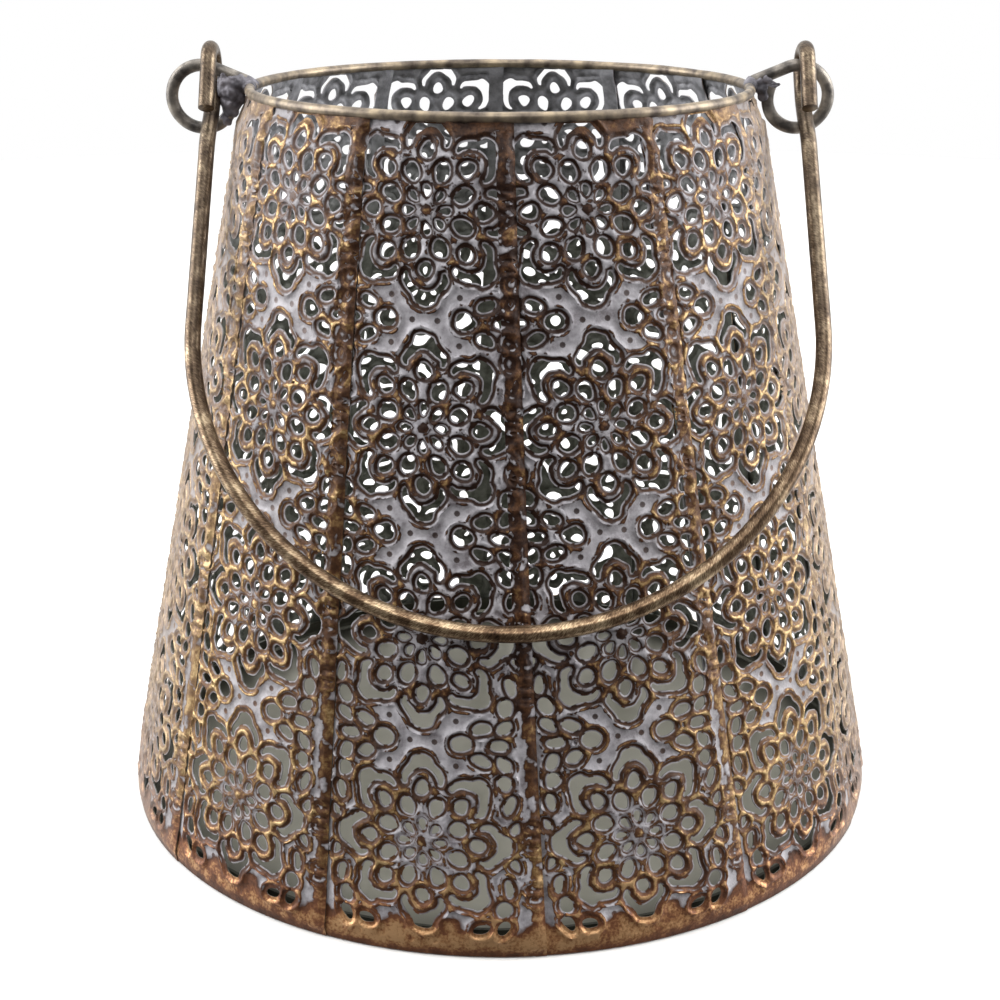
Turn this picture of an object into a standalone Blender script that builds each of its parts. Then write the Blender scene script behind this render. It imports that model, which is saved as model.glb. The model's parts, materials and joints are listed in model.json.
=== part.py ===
"""Pierced metal candle lantern: twelve lapped gores on a flat pan, a rim wire, two eyes and a swinging bail.

Sizes are in millimetres and are turned into metres by MM where geometry is made. The lantern stands on
z = 0 with its axis on z and its front towards -y. Angles round the axis run from the front towards +x.
"""
import math

import bpy
from mathutils import Vector
from mathutils.geometry import delaunay_2d_cdt

MM = 0.001
GAP = 0.35                # clearance where two pieces touch or are brazed

# Conical wall, measured at the middle of the sheet
FOOT_RADIUS = 99.5
HEAD_RADIUS = 61.9        # where the straight wall would reach HEAD_HEIGHT
HEAD_HEIGHT = 179.3
SHEET = 0.8               # thin sheet together with its embossing
HEAD_TUCK = 1.4           # how far the top edge turns in under the rim wire
TUCK_LENGTH = 8.0

# Gores
GORE_COUNT = 12
FIRST_GORE = -10.0        # degrees, centre line of the first gore at the foot
LEAN = 4.1                # degrees that the gores lean round the axis from foot to head
LAP = 4.0                 # width of each lapped seam
FOOT_EDGE = 0.5           # height of the gores' lower edge on the slant
FOOT_BAND = 5.5           # plain band above the foot

# Piercing
ROW_COUNT = 4
FIRST_ROW = 27.0          # slant height of the lowest rosette's centre
ROW_PITCH = 46.25
PETAL_COUNT = 8
PETAL_ROOT = 4.5          # radii and half width of a rosette's petal opening
PETAL_SHOULDER = 13.5
PETAL_HALF_WIDTH = 4.1
PETAL_TIP = 20.3
LOZENGE_NEAR = 7.4        # half-medallion opening, from the gore's centre line outwards
LOZENGE_SHOULDER = 12.4
LOZENGE_HALF_HEIGHT = 3.6
LOZENGE_FAR = 20.0
MARGIN = 0.8              # sheet left between an opening and a seam, band or rim
RELIEF = 0.5              # how far the embossing lifts the sheet round the openings
SKIRT = 1.4               # width of the slope from the lifted edges to the plain sheet
VALLEY = 15.5             # radius of the low points between a rosette's petals

# Base pan
PAN_FLOOR = 0.8
PAN_FLANGE = 6.0
PAN_CLEAR = 0.5           # room between the flange and the gores
PAN_BEND = 2.4            # outer radius of the bend from the floor to the flange

# Wires
RIM_RADIUS = 60.3
RIM_HEIGHT = 181.0
RIM_WIRE = 2.3
EYE_X = 72.3
EYE_Z = 178.7
EYE_RADIUS = 7.45
EYE_WIRE = 3.0
EYE_TANGENT = 112.0       # degrees on the ring where the tail leaves it
EYE_END = -195.0          # degrees on the ring where the wire ends
EYE_END_RADIUS = 7.1
EYE_CURL = 0.8            # share of the ring after which the wire curls in
BAIL_WIRE = 3.8
BAIL_ARM = 69.0           # arm from the pivot to the bow
BAIL_SHIFT = 1.9          # how far the bail has slid to the right in its eyes
BOW_RADIUS = 72.3
HOOK_REACH = 71.7         # half the distance between the hooks, which the arms spread from
HOOK_DROP = 0.55          # pivot axis below the top of the eyes' wire line
HOOK_PLAY = 1.0           # room between a hook and the eye's wire
HOOK_TIP = 13.5           # free end of a hook, measured down the arm
HOOK_CLOSE = 0.06         # how fast the free end closes on the arm
HOOK_BEND = (5.0, 23.0)   # stretch of the arm that bends back to the hook

# Fineness of the faceted shapes
HOOP_STEPS = 48           # round the pan and the rim wire
EYE_STEPS = 26
BOW_STEPS = 26
HOOK_STEPS = 8            # round a hook's half circle
LEG_STEPS = 5             # along a hook's free leg
BEND_STEPS = 6
PAN_STEPS = 3             # round the pan's bend
EDGE_LEVELS = (0.33, 0.66)   # extra points up a gore's edges, as shares of its height
EDGE_PARTS = (-1.0, -0.5, 0.0, 0.5, 1.0)   # points across a gore's foot and head
SHARP_ANGLE = 35.0        # degrees

SLOPE = (FOOT_RADIUS - HEAD_RADIUS) / HEAD_HEIGHT
SIN_WALL = SLOPE / math.hypot(1.0, SLOPE)
COS_WALL = 1.0 / math.hypot(1.0, SLOPE)
APEX = FOOT_RADIUS / SIN_WALL             # slant distance from the foot to the cone's tip
HEAD_EDGE = HEAD_HEIGHT / COS_WALL        # slant height of the gores' upper edge
HALF_GORE = math.pi / GORE_COUNT
SHINGLE = (SHEET + GAP) / 2               # each gore leans out by this at its lapping edge
PIVOT_Z = EYE_Z + EYE_RADIUS - HOOK_DROP
HOOK_RADIUS = EYE_WIRE / 2 + HOOK_PLAY + BAIL_WIRE / 2


def smooth_step(value):
    """Ease from 0 to 1."""
    value = min(max(value, 0.0), 1.0)
    return value * value * (3.0 - 2.0 * value)


def metal(name, colour, roughness):
    """A Principled metal of one linear colour."""
    material = bpy.data.materials.new(name)
    material.use_nodes = True
    shader = material.node_tree.nodes["Principled BSDF"]
    shader.inputs["Base Color"].default_value = (*colour, 1.0)
    shader.inputs["Metallic"].default_value = 0.9
    shader.inputs["Roughness"].default_value = roughness
    material.diffuse_color = (*colour, 1.0)
    return material


def add_object(name, data, material, parent):
    """Link an object with its material under the lantern's empty."""
    if not data.materials:
        data.materials.append(material)
    piece = bpy.data.objects.new(name, data)
    piece.parent = parent
    bpy.context.scene.collection.objects.link(piece)
    return piece


def wire_data(name, path, diameter, cyclic=False):
    """A round wire along a path of points in millimetres."""
    curve = bpy.data.curves.new(name, "CURVE")
    curve.dimensions = "3D"
    curve.bevel_depth = diameter / 2 * MM
    curve.bevel_resolution = 2
    curve.use_fill_caps = not cyclic
    spline = curve.splines.new("POLY")
    spline.points.add(len(path) - 1)
    spline.use_cyclic_u = cyclic
    for point, (x, y, z) in zip(spline.points, path):
        point.co = (x * MM, y * MM, z * MM, 1.0)
    return curve


def flat_point(height, turn):
    """Flat-sheet place of a point at a slant height and an angle from the gore's centre line."""
    reach = APEX - height
    angle = turn * SIN_WALL
    return (reach * math.sin(angle), APEX - reach * math.cos(angle))


def roll(flat, depth):
    """Roll a flat-sheet point, raised by depth from the sheet's middle, onto the leaning cone."""
    across, along = flat
    reach = math.hypot(across, APEX - along)
    turn = math.atan2(across, APEX - along) / SIN_WALL
    height = APEX - reach
    tuck = HEAD_TUCK * smooth_step((height - HEAD_EDGE + TUCK_LENGTH) / TUCK_LENGTH)
    radius = reach * SIN_WALL + depth * COS_WALL + SHINGLE * turn / HALF_GORE - tuck
    angle = turn - math.radians(LEAN) * height / HEAD_EDGE
    z = height * COS_WALL + depth * SIN_WALL
    return Vector((radius * math.sin(angle), -radius * math.cos(angle), z)) * MM


def seam_turn(height, side):
    """Angle of a gore's free edge (side 1) or of the lap's inner line (side -1)."""
    radius = (APEX - height) * SIN_WALL
    return HALF_GORE + side * LAP / 2 / radius


def gore_outline():
    """Outline of a flat gore and the two inner lines of its laps."""
    levels = [FOOT_EDGE, HEAD_EDGE - TUCK_LENGTH, HEAD_EDGE]
    levels[1:1] = [HEAD_EDGE * share for share in EDGE_LEVELS]
    bottom = [flat_point(levels[0], part * seam_turn(levels[0], -1)) for part in EDGE_PARTS]
    top = [flat_point(levels[-1], part * seam_turn(levels[-1], -1)) for part in reversed(EDGE_PARTS)]
    right = [flat_point(level, seam_turn(level, 1)) for level in levels]
    left = [flat_point(level, -seam_turn(level, 1)) for level in reversed(levels)]
    lines = []
    for hand in (-1, 1):
        lines.append([flat_point(level, hand * seam_turn(level, -1)) for level in levels])
    return bottom + right + top + left, lines


def side_limit(along):
    """Half width open to piercing at a height of the flat gore."""
    return (APEX - along) * math.sin(seam_turn(along, -1) * SIN_WALL) - MARGIN


def petal_openings(centre):
    """Eight kite-shaped openings of a rosette, cut short at the seams, the foot band and the rim."""
    openings = []
    for index in range(PETAL_COUNT):
        angle = index * math.tau / PETAL_COUNT
        out = Vector((math.cos(angle), math.sin(angle)))
        side = Vector((-out.y, out.x))
        tip = out * PETAL_TIP
        limit = side_limit(centre + tip.y)
        tip.x = min(max(tip.x, -limit), limit)
        tip.y = min(max(tip.y, FOOT_BAND - centre), HEAD_EDGE - MARGIN * 2 - centre)
        shoulder = out * PETAL_SHOULDER
        kite = (out * PETAL_ROOT, shoulder - side * PETAL_HALF_WIDTH, tip, shoulder + side * PETAL_HALF_WIDTH)
        openings.append([(corner.x, corner.y + centre) for corner in kite])
    return openings


def lozenge_openings(centre):
    """The two half-medallion openings beside the seams, midway between two rows."""
    far = min(LOZENGE_FAR, side_limit(centre))
    openings = []
    for hand in (-1, 1):
        near_end = (hand * LOZENGE_NEAR, centre)
        far_end = (hand * far, centre)
        low = (hand * LOZENGE_SHOULDER, centre - LOZENGE_HALF_HEIGHT)
        high = (hand * LOZENGE_SHOULDER, centre + LOZENGE_HALF_HEIGHT)
        openings.append([near_end, low, far_end, high][::hand])
    return openings


def gore_openings():
    """All openings of one gore."""
    openings = []
    for row in range(ROW_COUNT):
        centre = FIRST_ROW + row * ROW_PITCH
        openings += petal_openings(centre)
        if row < ROW_COUNT - 1:
            openings += lozenge_openings(centre + ROW_PITCH / 2)
    return openings


def relief_feet():
    """Points where the embossing comes down to the plain sheet, round each rosette and half medallion."""
    feet = []
    for row in range(ROW_COUNT):
        centre = FIRST_ROW + row * ROW_PITCH
        for index in range(PETAL_COUNT):
            for angle, radius in ((index, PETAL_TIP + SKIRT), (index + 0.5, VALLEY)):
                turn = angle * math.tau / PETAL_COUNT
                feet.append((radius * math.cos(turn), centre + radius * math.sin(turn)))
        for hand in (-1, 1):
            middle = centre + ROW_PITCH / 2
            feet.append((hand * (LOZENGE_NEAR - SKIRT), middle))
            for side in (-1, 1):
                feet.append((hand * LOZENGE_SHOULDER, middle + side * (LOZENGE_HALF_HEIGHT + SKIRT)))
    top = HEAD_EDGE - MARGIN
    return [(x, y) for x, y in feet if abs(x) < side_limit(y) and FOOT_BAND - SKIRT < y < top]


def pierced_triangles(outline, lines, feet, openings):
    """Triangulate the flat gore round its openings, whose corners run anticlockwise.

    Gives the flat points, the triangles and each point's lift: RELIEF at the openings, 0 elsewhere.
    """
    points = [Vector(point) for point in outline]
    edges = [(index, (index + 1) % len(outline)) for index in range(len(outline))]
    for line in lines:
        first = len(points)
        points += [Vector(point) for point in line]
        edges += [(first + index, first + index + 1) for index in range(len(line) - 1)]
    points += [Vector(point) for point in feet]
    plain_count = len(points)
    hole_faces = []
    for opening in openings:
        first = len(points)
        points += [Vector(point) for point in opening]
        hole_faces.append(list(range(first, first + len(opening))))
    inside_outline = 1
    result = delaunay_2d_cdt(points, edges, hole_faces, inside_outline, 1e-5)
    flat, faces, made_from, hole_of = result[0], result[2], result[3], result[5]
    lifts = [RELIEF if min(sources, default=0) >= plain_count else 0.0 for sources in made_from]
    return flat, [face for face, hole in zip(faces, hole_of) if not hole], lifts


def gore_mesh():
    """One gore: the pierced sheet, embossed, thickened and rolled."""
    outline, lines = gore_outline()
    flat, faces, lifts = pierced_triangles(outline, lines, relief_feet(), gore_openings())
    count = len(flat)
    points = [roll(point, lift + SHEET / 2) for point, lift in zip(flat, lifts)]
    points += [roll(point, lift - SHEET / 2) for point, lift in zip(flat, lifts)]
    directed = set()
    for a, b, c in faces:
        directed.update(((a, b), (b, c), (c, a)))
    rims = sorted(edge for edge in directed if (edge[1], edge[0]) not in directed)
    solid = [tuple(face) for face in faces]
    solid += [(a + count, c + count, b + count) for a, b, c in faces]
    solid += [(b, a, a + count, b + count) for a, b in rims]
    mesh = bpy.data.meshes.new("gore")
    mesh.from_pydata(points, [], solid)
    mesh.validate()
    mesh.shade_smooth()
    mesh.set_sharp_from_angle(angle=math.radians(SHARP_ANGLE))
    return mesh


def add_gores(parent, material):
    """Twelve gores that share one mesh, set round the axis."""
    mesh = gore_mesh()
    for index in range(GORE_COUNT):
        gore = add_object(f"gore_{index + 1:02d}", mesh, material, parent)
        gore.rotation_euler.z = math.radians(FIRST_GORE) + index * 2 * HALF_GORE


def add_base_pan(parent, material):
    """Flat floor with a flange that follows the inside of the wall, turned round the axis."""
    foot = FOOT_RADIUS - SHINGLE - (SHEET / 2 + PAN_CLEAR) / COS_WALL
    top = foot - SLOPE * PAN_FLANGE
    wall_angle = math.atan(SLOPE)
    bend = foot - PAN_BEND * math.tan(math.pi / 4 + wall_angle / 2)
    angles = [(math.pi / 2 + wall_angle) * index / PAN_STEPS - math.pi / 2 for index in range(PAN_STEPS + 1)]
    inner, outer = PAN_BEND - PAN_FLOOR, PAN_BEND
    profile = [(0.0, PAN_FLOOR)]
    profile += [(bend + inner * math.cos(a), PAN_BEND + inner * math.sin(a)) for a in angles]
    profile += [(top - PAN_FLOOR / COS_WALL, PAN_FLANGE), (top, PAN_FLANGE)]
    profile += [(bend + outer * math.cos(a), PAN_BEND + outer * math.sin(a)) for a in reversed(angles)]
    profile += [(0.0, 0.0)]
    mesh = bpy.data.meshes.new("base_pan")
    edges = [(index, index + 1) for index in range(len(profile) - 1)]
    mesh.from_pydata([(r * MM, 0.0, z * MM) for r, z in profile], edges, [])
    pan = add_object("base_pan", mesh, material, parent)
    turn = pan.modifiers.new("turn", "SCREW")
    turn.steps = HOOP_STEPS
    turn.render_steps = HOOP_STEPS
    turn.use_merge_vertices = True
    turn.merge_threshold = 0.00001


def add_rim_wire(parent, material):
    """Round wire hoop on the gores' top edge."""
    path = []
    for index in range(HOOP_STEPS):
        angle = index * math.tau / HOOP_STEPS
        path.append((RIM_RADIUS * math.cos(angle), RIM_RADIUS * math.sin(angle), RIM_HEIGHT))
    add_object("rim_wire", wire_data("rim_wire", path, RIM_WIRE, cyclic=True), material, parent)


def eye_path():
    """Right eye in the plane y = 0: a straight tail from the rim wire, tangent to a nearly closed ring."""
    start = math.radians(EYE_TANGENT)
    direction = Vector((math.sin(start), -math.cos(start)))
    touch = Vector((EYE_X + EYE_RADIUS * math.cos(start), EYE_Z + EYE_RADIUS * math.sin(start)))
    to_rim = touch - Vector((RIM_RADIUS, RIM_HEIGHT))
    tail = to_rim.dot(direction) - RIM_WIRE / 2 - GAP
    end = touch - direction * tail
    path = [(end.x, 0.0, end.y)]
    for index in range(EYE_STEPS + 1):
        part = index / EYE_STEPS
        angle = math.radians(EYE_TANGENT + (EYE_END - EYE_TANGENT) * part)
        curl = smooth_step((part - EYE_CURL) / (1.0 - EYE_CURL))
        radius = EYE_RADIUS + (EYE_END_RADIUS - EYE_RADIUS) * curl
        path.append((EYE_X + radius * math.cos(angle), 0.0, EYE_Z + radius * math.sin(angle)))
    return path


def add_eyes(parent, material):
    """Left and right eyes, mirror images."""
    for name, hand in (("left_eye", -1), ("right_eye", 1)):
        path = [(hand * x, y, z) for x, y, z in eye_path()]
        add_object(name, wire_data(name, path, EYE_WIRE), material, parent)


def hook_path():
    """A hook from its free end to the arm, as (forward, down) from the pivot."""
    path = []
    for index in range(LEG_STEPS):
        down = HOOK_TIP * (1.0 - index / LEG_STEPS)
        path.append((HOOK_RADIUS - HOOK_CLOSE * down, down))
    for index in range(HOOK_STEPS + 1):
        angle = math.pi * index / HOOK_STEPS
        path.append((HOOK_RADIUS * math.cos(angle), -HOOK_RADIUS * math.sin(angle)))
    start, stop = HOOK_BEND
    for index in range(BEND_STEPS + 1):
        part = index / BEND_STEPS
        path.append((-HOOK_RADIUS * (1.0 - smooth_step(part)), start + (stop - start) * part))
    return path


def bail_tilt():
    """Angle from straight down at which the hanging bow rests just clear of the front wall."""
    drop = BAIL_ARM + BOW_RADIUS
    clear = SHINGLE + SHEET / 2 + RELIEF + GAP + BAIL_WIRE / 2
    across = FOOT_RADIUS - SLOPE * PIVOT_Z + clear / COS_WALL
    rise = SLOPE * drop
    return math.asin(across / math.hypot(drop, rise)) + math.atan2(rise, drop)


def add_bail(parent, material):
    """One wire: hook, arm, half-round bow, arm and hook. Its origin is on the pivot axis."""
    right = [(HOOK_REACH, -forward, -down) for forward, down in hook_path()]
    bow = []
    for index in range(BOW_STEPS + 1):
        angle = math.pi * index / BOW_STEPS
        bow.append((BOW_RADIUS * math.cos(angle), 0.0, -BAIL_ARM - BOW_RADIUS * math.sin(angle)))
    left = [(-x, y, z) for x, y, z in reversed(right)]
    path = [(x + BAIL_SHIFT, y, z) for x, y, z in right + bow + left]
    bail = add_object("bail", wire_data("bail", path, BAIL_WIRE), material, parent)
    bail.location = (0.0, 0.0, PIVOT_Z * MM)
    bail.rotation_euler.x = -bail_tilt()


def main():
    for old in list(bpy.data.objects):
        bpy.data.objects.remove(old, do_unlink=True)
    lantern = bpy.data.objects.new("lantern", None)
    bpy.context.scene.collection.objects.link(lantern)
    add_base_pan(lantern, metal("pan_sheet", (0.22, 0.20, 0.15), 0.6))
    add_gores(lantern, metal("pierced_sheet", (0.30, 0.23, 0.16), 0.5))
    add_rim_wire(lantern, metal("rim_brass", (0.35, 0.25, 0.13), 0.4))
    add_eyes(lantern, metal("eye_wire", (0.14, 0.13, 0.12), 0.5))
    add_bail(lantern, metal("bail_brass", (0.45, 0.32, 0.16), 0.35))


main()
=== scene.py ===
import json
import math

import bmesh
import bpy
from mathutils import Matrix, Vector, kdtree, noise
from mathutils.geometry import delaunay_2d_cdt


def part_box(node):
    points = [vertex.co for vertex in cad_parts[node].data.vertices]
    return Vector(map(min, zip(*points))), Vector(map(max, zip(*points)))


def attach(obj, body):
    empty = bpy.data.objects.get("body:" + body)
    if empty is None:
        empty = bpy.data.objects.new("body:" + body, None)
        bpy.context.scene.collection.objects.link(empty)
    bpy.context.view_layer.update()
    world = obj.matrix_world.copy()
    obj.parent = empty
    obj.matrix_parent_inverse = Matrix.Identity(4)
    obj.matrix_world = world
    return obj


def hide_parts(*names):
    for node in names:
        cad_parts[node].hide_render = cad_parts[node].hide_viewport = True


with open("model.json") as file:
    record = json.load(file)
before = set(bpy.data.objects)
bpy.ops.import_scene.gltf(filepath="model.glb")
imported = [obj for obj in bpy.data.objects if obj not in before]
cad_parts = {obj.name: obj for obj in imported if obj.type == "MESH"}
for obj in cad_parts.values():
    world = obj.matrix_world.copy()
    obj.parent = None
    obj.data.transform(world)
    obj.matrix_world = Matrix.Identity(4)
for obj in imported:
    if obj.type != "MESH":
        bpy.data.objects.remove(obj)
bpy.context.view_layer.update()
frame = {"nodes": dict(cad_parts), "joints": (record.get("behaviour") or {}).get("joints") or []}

# Pierced candle lantern: the looks of its gores, wires, welds and pan.
# Sizes are in millimetres, and MM turns them into metres where a mesh is made.
MM = 0.001

# Conical wall, at the middle of the sheet
FOOT_RADIUS = 99.5
HEAD_RADIUS = 61.9          # where the straight wall would reach HEAD_HEIGHT
HEAD_HEIGHT = 179.3
HEAD_TUCK = 1.4             # how far the top edge turns in under the rim wire
TUCK_LENGTH = 8.0
GORE_COUNT = 12
FIRST_GORE = math.radians(-10.0)   # centre line of the first gore at the foot
LEAN = math.radians(4.1)    # how far the gores lean round the axis from foot to head
LAP = 4.0                   # width of each lapped seam
FOOT_EDGE = 0.5             # slant height of the gores' lower edge
SHINGLE = 0.575             # how far a gore leans out at its lapping edge
SHEET = 0.35                # thickness that shows at the cut edges
RIM_ENTRY = 1.1             # how far the sheet runs up into the rim wire
GORE_SHARP = 50.0           # degrees
SLOPE = (FOOT_RADIUS - HEAD_RADIUS) / HEAD_HEIGHT
WALL_SINE = SLOPE / math.hypot(1.0, SLOPE)
WALL_COSINE = 1.0 / math.hypot(1.0, SLOPE)
APEX = FOOT_RADIUS / WALL_SINE        # slant distance from the foot to the cone's tip
HEAD_EDGE = HEAD_HEIGHT / WALL_COSINE
SHEET_TOP = HEAD_EDGE + RIM_ENTRY
HALF_GORE = math.pi / GORE_COUNT

# Piercing
FIRST_ROW = 27.0            # slant height of the lowest rosette's centre
ROW_PITCH = 46.25
ROW_COUNT = 4
PETAL_COUNT = 8
PETAL_ANGLE = 360.0 / PETAL_COUNT
FOOT_BAND = 4.6             # plain band above the foot
HEAD_BAND = 0.8             # plain strip under the rim
PIERCED_TOP = SHEET_TOP - HEAD_BAND
SLOT_LENGTH = 2.9           # blocked slots on the lap
SLOT_WIDTH = 1.1
SLOT_SHIFT = 0.2            # how far the slots lie outside the lap's middle
EDGE_STEP = 0.6             # distance between points along a cut edge
EDGE_INSET = 0.33           # how far the punch's burr closes each opening
EDGE_WAVER = 0.42           # how far the cut edges wander

# Embossing
RIDGE_HEIGHT = 0.7
RIDGE_START = 0.4           # lip between a cut edge and its ridge
RIDGE_WIDTH = 1.7
RIDGE_REACH = 2.6           # how far from a cut edge a ridge can be felt
NARROW_BAR = 3.2            # bars up to this width carry one ridge
WIDE_BAR = 4.2              # bars from this width on carry two
RIDGE_WAVER = 0.24          # how far the ridges wander from their even width
LAP_CREST = 0.6             # share of the ridges' height that is left on the lap
FLAT_LEVEL = 0.25           # lift of the flats' outer face from the middle of the wall
PIT_DEPTH = 0.25            # blocked slots on the lap
EDGE_CURL = 0.75            # how far the free edge is pressed down onto the next gore
CURL_WIDTH = 1.6
CURL_START = 2.0            # height above which it is pressed down
HEM_CURL = 0.9              # how far the foot's lower edge turns in
HEM_HEIGHT = 2.6
FOOT_SETTLE = 0.2           # share of the laps' step that is left at the foot
SETTLE_HEIGHT = 9.0         # height over which the step grows to its full size
BOSS_RADIUS = 1.25
DOT_RADIUS = 0.6
DOT_DEPTH = 0.3

# Gild, from 0 where the wash is whole to 1 where the brass is bare
LIP = 0.08                  # middle width of the bright, broken lip at a cut edge
LIP_WAVER = 0.5             # how far the lip's width wanders
LIP_FADE = 0.15
PATINA = 0.26               # gild of the dark patina round the openings
PATINA_WIDTH = 1.36         # how far the patina reaches from a cut edge
PATINA_FADE = 0.45
BOSS_BARE = 0.8             # how bare the bosses are
DOT_GILD = 0.2
BAND_GILD = 0.68            # the foot's plain band
BAND_TOP = 10.0
BAND_WAVER = 3.5            # how far the band's upper edge wanders
BAND_FADE = 4.5
HEAD_GILD = 0.5             # the strip under the rim
HEAD_WORN = 4.0             # width of that strip
HEAD_FADE = 1.5
LAP_START = 0.2             # where the lap's brass begins, out from the lap's inner line
LAP_RETREAT = 0.8           # how much farther out it begins low on the wall
LAP_WAVER = 1.2             # how far that beginning wanders
LAP_FADE = 0.6
PIT_GILD = 0.25             # blocked slots that the wash hasn't filled
PIT_WASHED = -0.3           # noise over which the wash has filled them
LOW_TOP = 95.0              # height under which the wall counts as low
LOW_RUN = 60.0
HEART_SHARE = 0.6           # share of the ridges' brass that shows at a rosette's centre
HEART_LOSS = 0.25           # what that share loses low on the wall
HEART_RADIUS = 4.5
HEART_GROWTH = 1.8          # what that radius gains low on the wall
HEART_FADE = 3.0

# Noises of the sheet: size in millimetres, and a number that tells one noise from the next
EDGE_ACROSS = (2.8, 3.0)
EDGE_ALONG = (2.8, 8.0)
RIDGE_WANDER = (1.6, 0.0)
CREST_WANDER = (2.0, 5.0)
LIP_WANDER = (1.3, 6.0)
LAP_WANDER = (2.0, 7.0)
LAP_BLOTCHES = (3.2, 9.0)
LAP_SPECKS = (1.5, 4.0)
PIT_WASH = (3.0, 2.0)
BAND_WANDER = (4.0, 0.0)
HEAD_PATCHES = (5.0, 0.0)

# Fineness of the sheet's mesh
OVAL_STEPS = 48
SIDE_STEPS = 180            # up a gore's side edges
FOOT_STEPS = 60             # across its foot
HEAD_STEPS = 40             # across its head
ROUND_STEPS = 8             # round a dot or boss
RIDGE_LINES = (0.2, 0.5, 0.8, 1.15, 1.55, 2.0)   # where the ridge gets points, from the cut edge
LINE_SHARE = 0.9            # part of that distance that has to be free of other cut edges
PIT_LINES = (-0.3, -0.7)    # where a blocked slot gets points, from its edge
DOT_LINES = (0.0, DOT_RADIUS, DOT_RADIUS + 0.3)
BOSS_LINES = (0.0, 0.7, 1.2)
POINT_GAP = 0.22            # closest spacing of two mesh points
FLAT_GRID = 1.5             # point spacing on the flats
FLAT_COLUMNS = 20           # to either side of the centre line
FLAT_ROWS = 130
LAP_GRID = 0.7              # point spacing on the lap that shows
CHAIN_CLEAR = 0.2           # least distance from the gore's outline: of the cut edges,
POINT_CLEAR = 0.25          # of points on ridges, dots and laps,
FLAT_CLEAR = 0.5            # and of points on the flats
OPENING_CELL = 6.0          # grid that the openings are looked up in

# Wires
RIM_RADIUS = 60.3
RIM_HEIGHT = 181.0
RIM_WIRE = 2.3
RIM_STEPS = 180
EYE_X = 72.3
EYE_Z = 178.7
EYE_RADIUS = 7.45
EYE_WIRE = 3.0
EYE_TANGENT = 112.0         # degrees on the ring where the tail leaves it
EYE_END = -200.0            # degrees on the ring where the wire ends
EYE_GAP = 0.35              # room between the tail's end and the rim wire
EYE_CURL = 0.35             # how far the wire's end curls in
CURL_FROM = 0.8             # share of the ring after which it curls in
CURL_RUN = 0.2
TAIL_STEPS = 6
EYE_STEPS = 80
BAIL_WIRE = 3.8
BAIL_ARM = 69.0             # arm from the pivot to the bow
BAIL_SHIFT = 1.9            # how far the bail has slid to the right in its eyes
BOW_RADIUS = 72.3
HOOK_REACH = 71.7           # half the distance between the hooks
HOOK_RADIUS = 4.4
HOOK_TIP = 13.5             # free end of a hook, measured down the arm
HOOK_CLOSE = 0.06           # how fast the free end closes on the arm
HOOK_BEND = (5.0, 23.0)     # stretch of the arm that bends back to the hook
TIP_STEPS = 12
HOOK_STEPS = 24
BEND_STEPS = 20
ARM_STEPS = 12
BOW_STEPS = 96
WIRE_SHARP = 60.0           # degrees
RIM_SHAPE = {"Wire Radius": RIM_WIRE / 2 * MM, "Sides": 16, "Waviness": 0.35 * MM, "Wave Scale": 90.0}
EYE_SHAPE = {"Wire Radius": EYE_WIRE / 2 * MM, "Sides": 20, "Waviness": 0.15 * MM, "Wave Scale": 200.0}
BAIL_SHAPE = {"Wire Radius": BAIL_WIRE / 2 * MM, "Sides": 24, "Waviness": 0.12 * MM, "Wave Scale": 120.0}

# Welds
WELD_VOXEL = 0.3            # grain that the balls are melted in
WELD_SMOOTHING = 4
WELD_ROUGHNESS = 0.35       # how far the rough skin rises and falls
WELD_WAVES = 0.9            # its waves for each millimetre

# Camera that matches the photograph's view
LENS = 61.3
SENSOR = 36.0
CAMERA_PLACE = (0.0, -424.6, 225.3)
CAMERA_PITCH = 0.355
CAMERA_SHIFT = 0.0235
CLIP_START = 0.01           # metres

# Studio in metres: name, place, size and power of each lamp, and the floor
LAMPS = (
    ("left_light", (-1.1, 0.0, 0.5), 1.0, 16.0),
    ("right_light", (1.1, 0.0, 0.5), 1.0, 16.0),
    ("top_light", (0.0, 0.2, 1.8), 2.4, 22.0),
    ("front_light", (0.0, -1.0, 1.2), 0.5, 5.0),
)
LAMP_AIM = Vector((0.0, 0.0, 0.09))
FLOOR_RADIUS = 1.2
FLOOR_STEPS = 64


def smooth_step(value):
    """Ease from 0 to 1."""
    value = min(max(value, 0.0), 1.0)
    return value * value * (3.0 - 2.0 * value)


def linear(code):
    """Linear colour of an sRGB hex code."""
    parts = [int(code[place:place + 2], 16) / 255 for place in (1, 3, 5)]
    return tuple(p / 12.92 if p <= 0.04045 else ((p + 0.055) / 1.055) ** 2.4 for p in parts) + (1.0,)


def feed(tree, node, feeds):
    """Give a node's inputs values, sockets, or other nodes, of which the first output in use is linked."""
    for key, value in feeds.items():
        if isinstance(value, bpy.types.Node):
            value = next(socket for socket in value.outputs if socket.enabled)
        if isinstance(value, bpy.types.NodeSocket):
            tree.links.new(value, node.inputs[key])
        else:
            node.inputs[key].default_value = value


def add_node(tree, kind, feeds=None, stops=(), **settings):
    """Add a node, set its properties and its colour stops of (place, hex), and feed its inputs."""
    node = tree.nodes.new(kind)
    for name, value in settings.items():
        setattr(node, name, value)
    for number, (place, code) in enumerate(stops):
        elements = node.color_ramp.elements
        element = elements[number] if number < len(elements) else elements.new(place)
        element.position = place
        element.color = linear(code)
    feed(tree, node, feeds or {})
    return node


# Flat pattern of one gore: across is right of its centre line, along is up the slant

def flat_point(height, turn):
    """Flat place of a point at a slant height and an angle from the gore's centre line."""
    reach = APEX - height
    return (reach * math.sin(turn * WALL_SINE), APEX - reach * math.cos(turn * WALL_SINE))


def seam_turn(height, side):
    """Angle of a gore's free edge (side 1) or of its lap's inner line (side -1)."""
    return HALF_GORE + side * LAP / 2 / ((APEX - height) * WALL_SINE)


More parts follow.
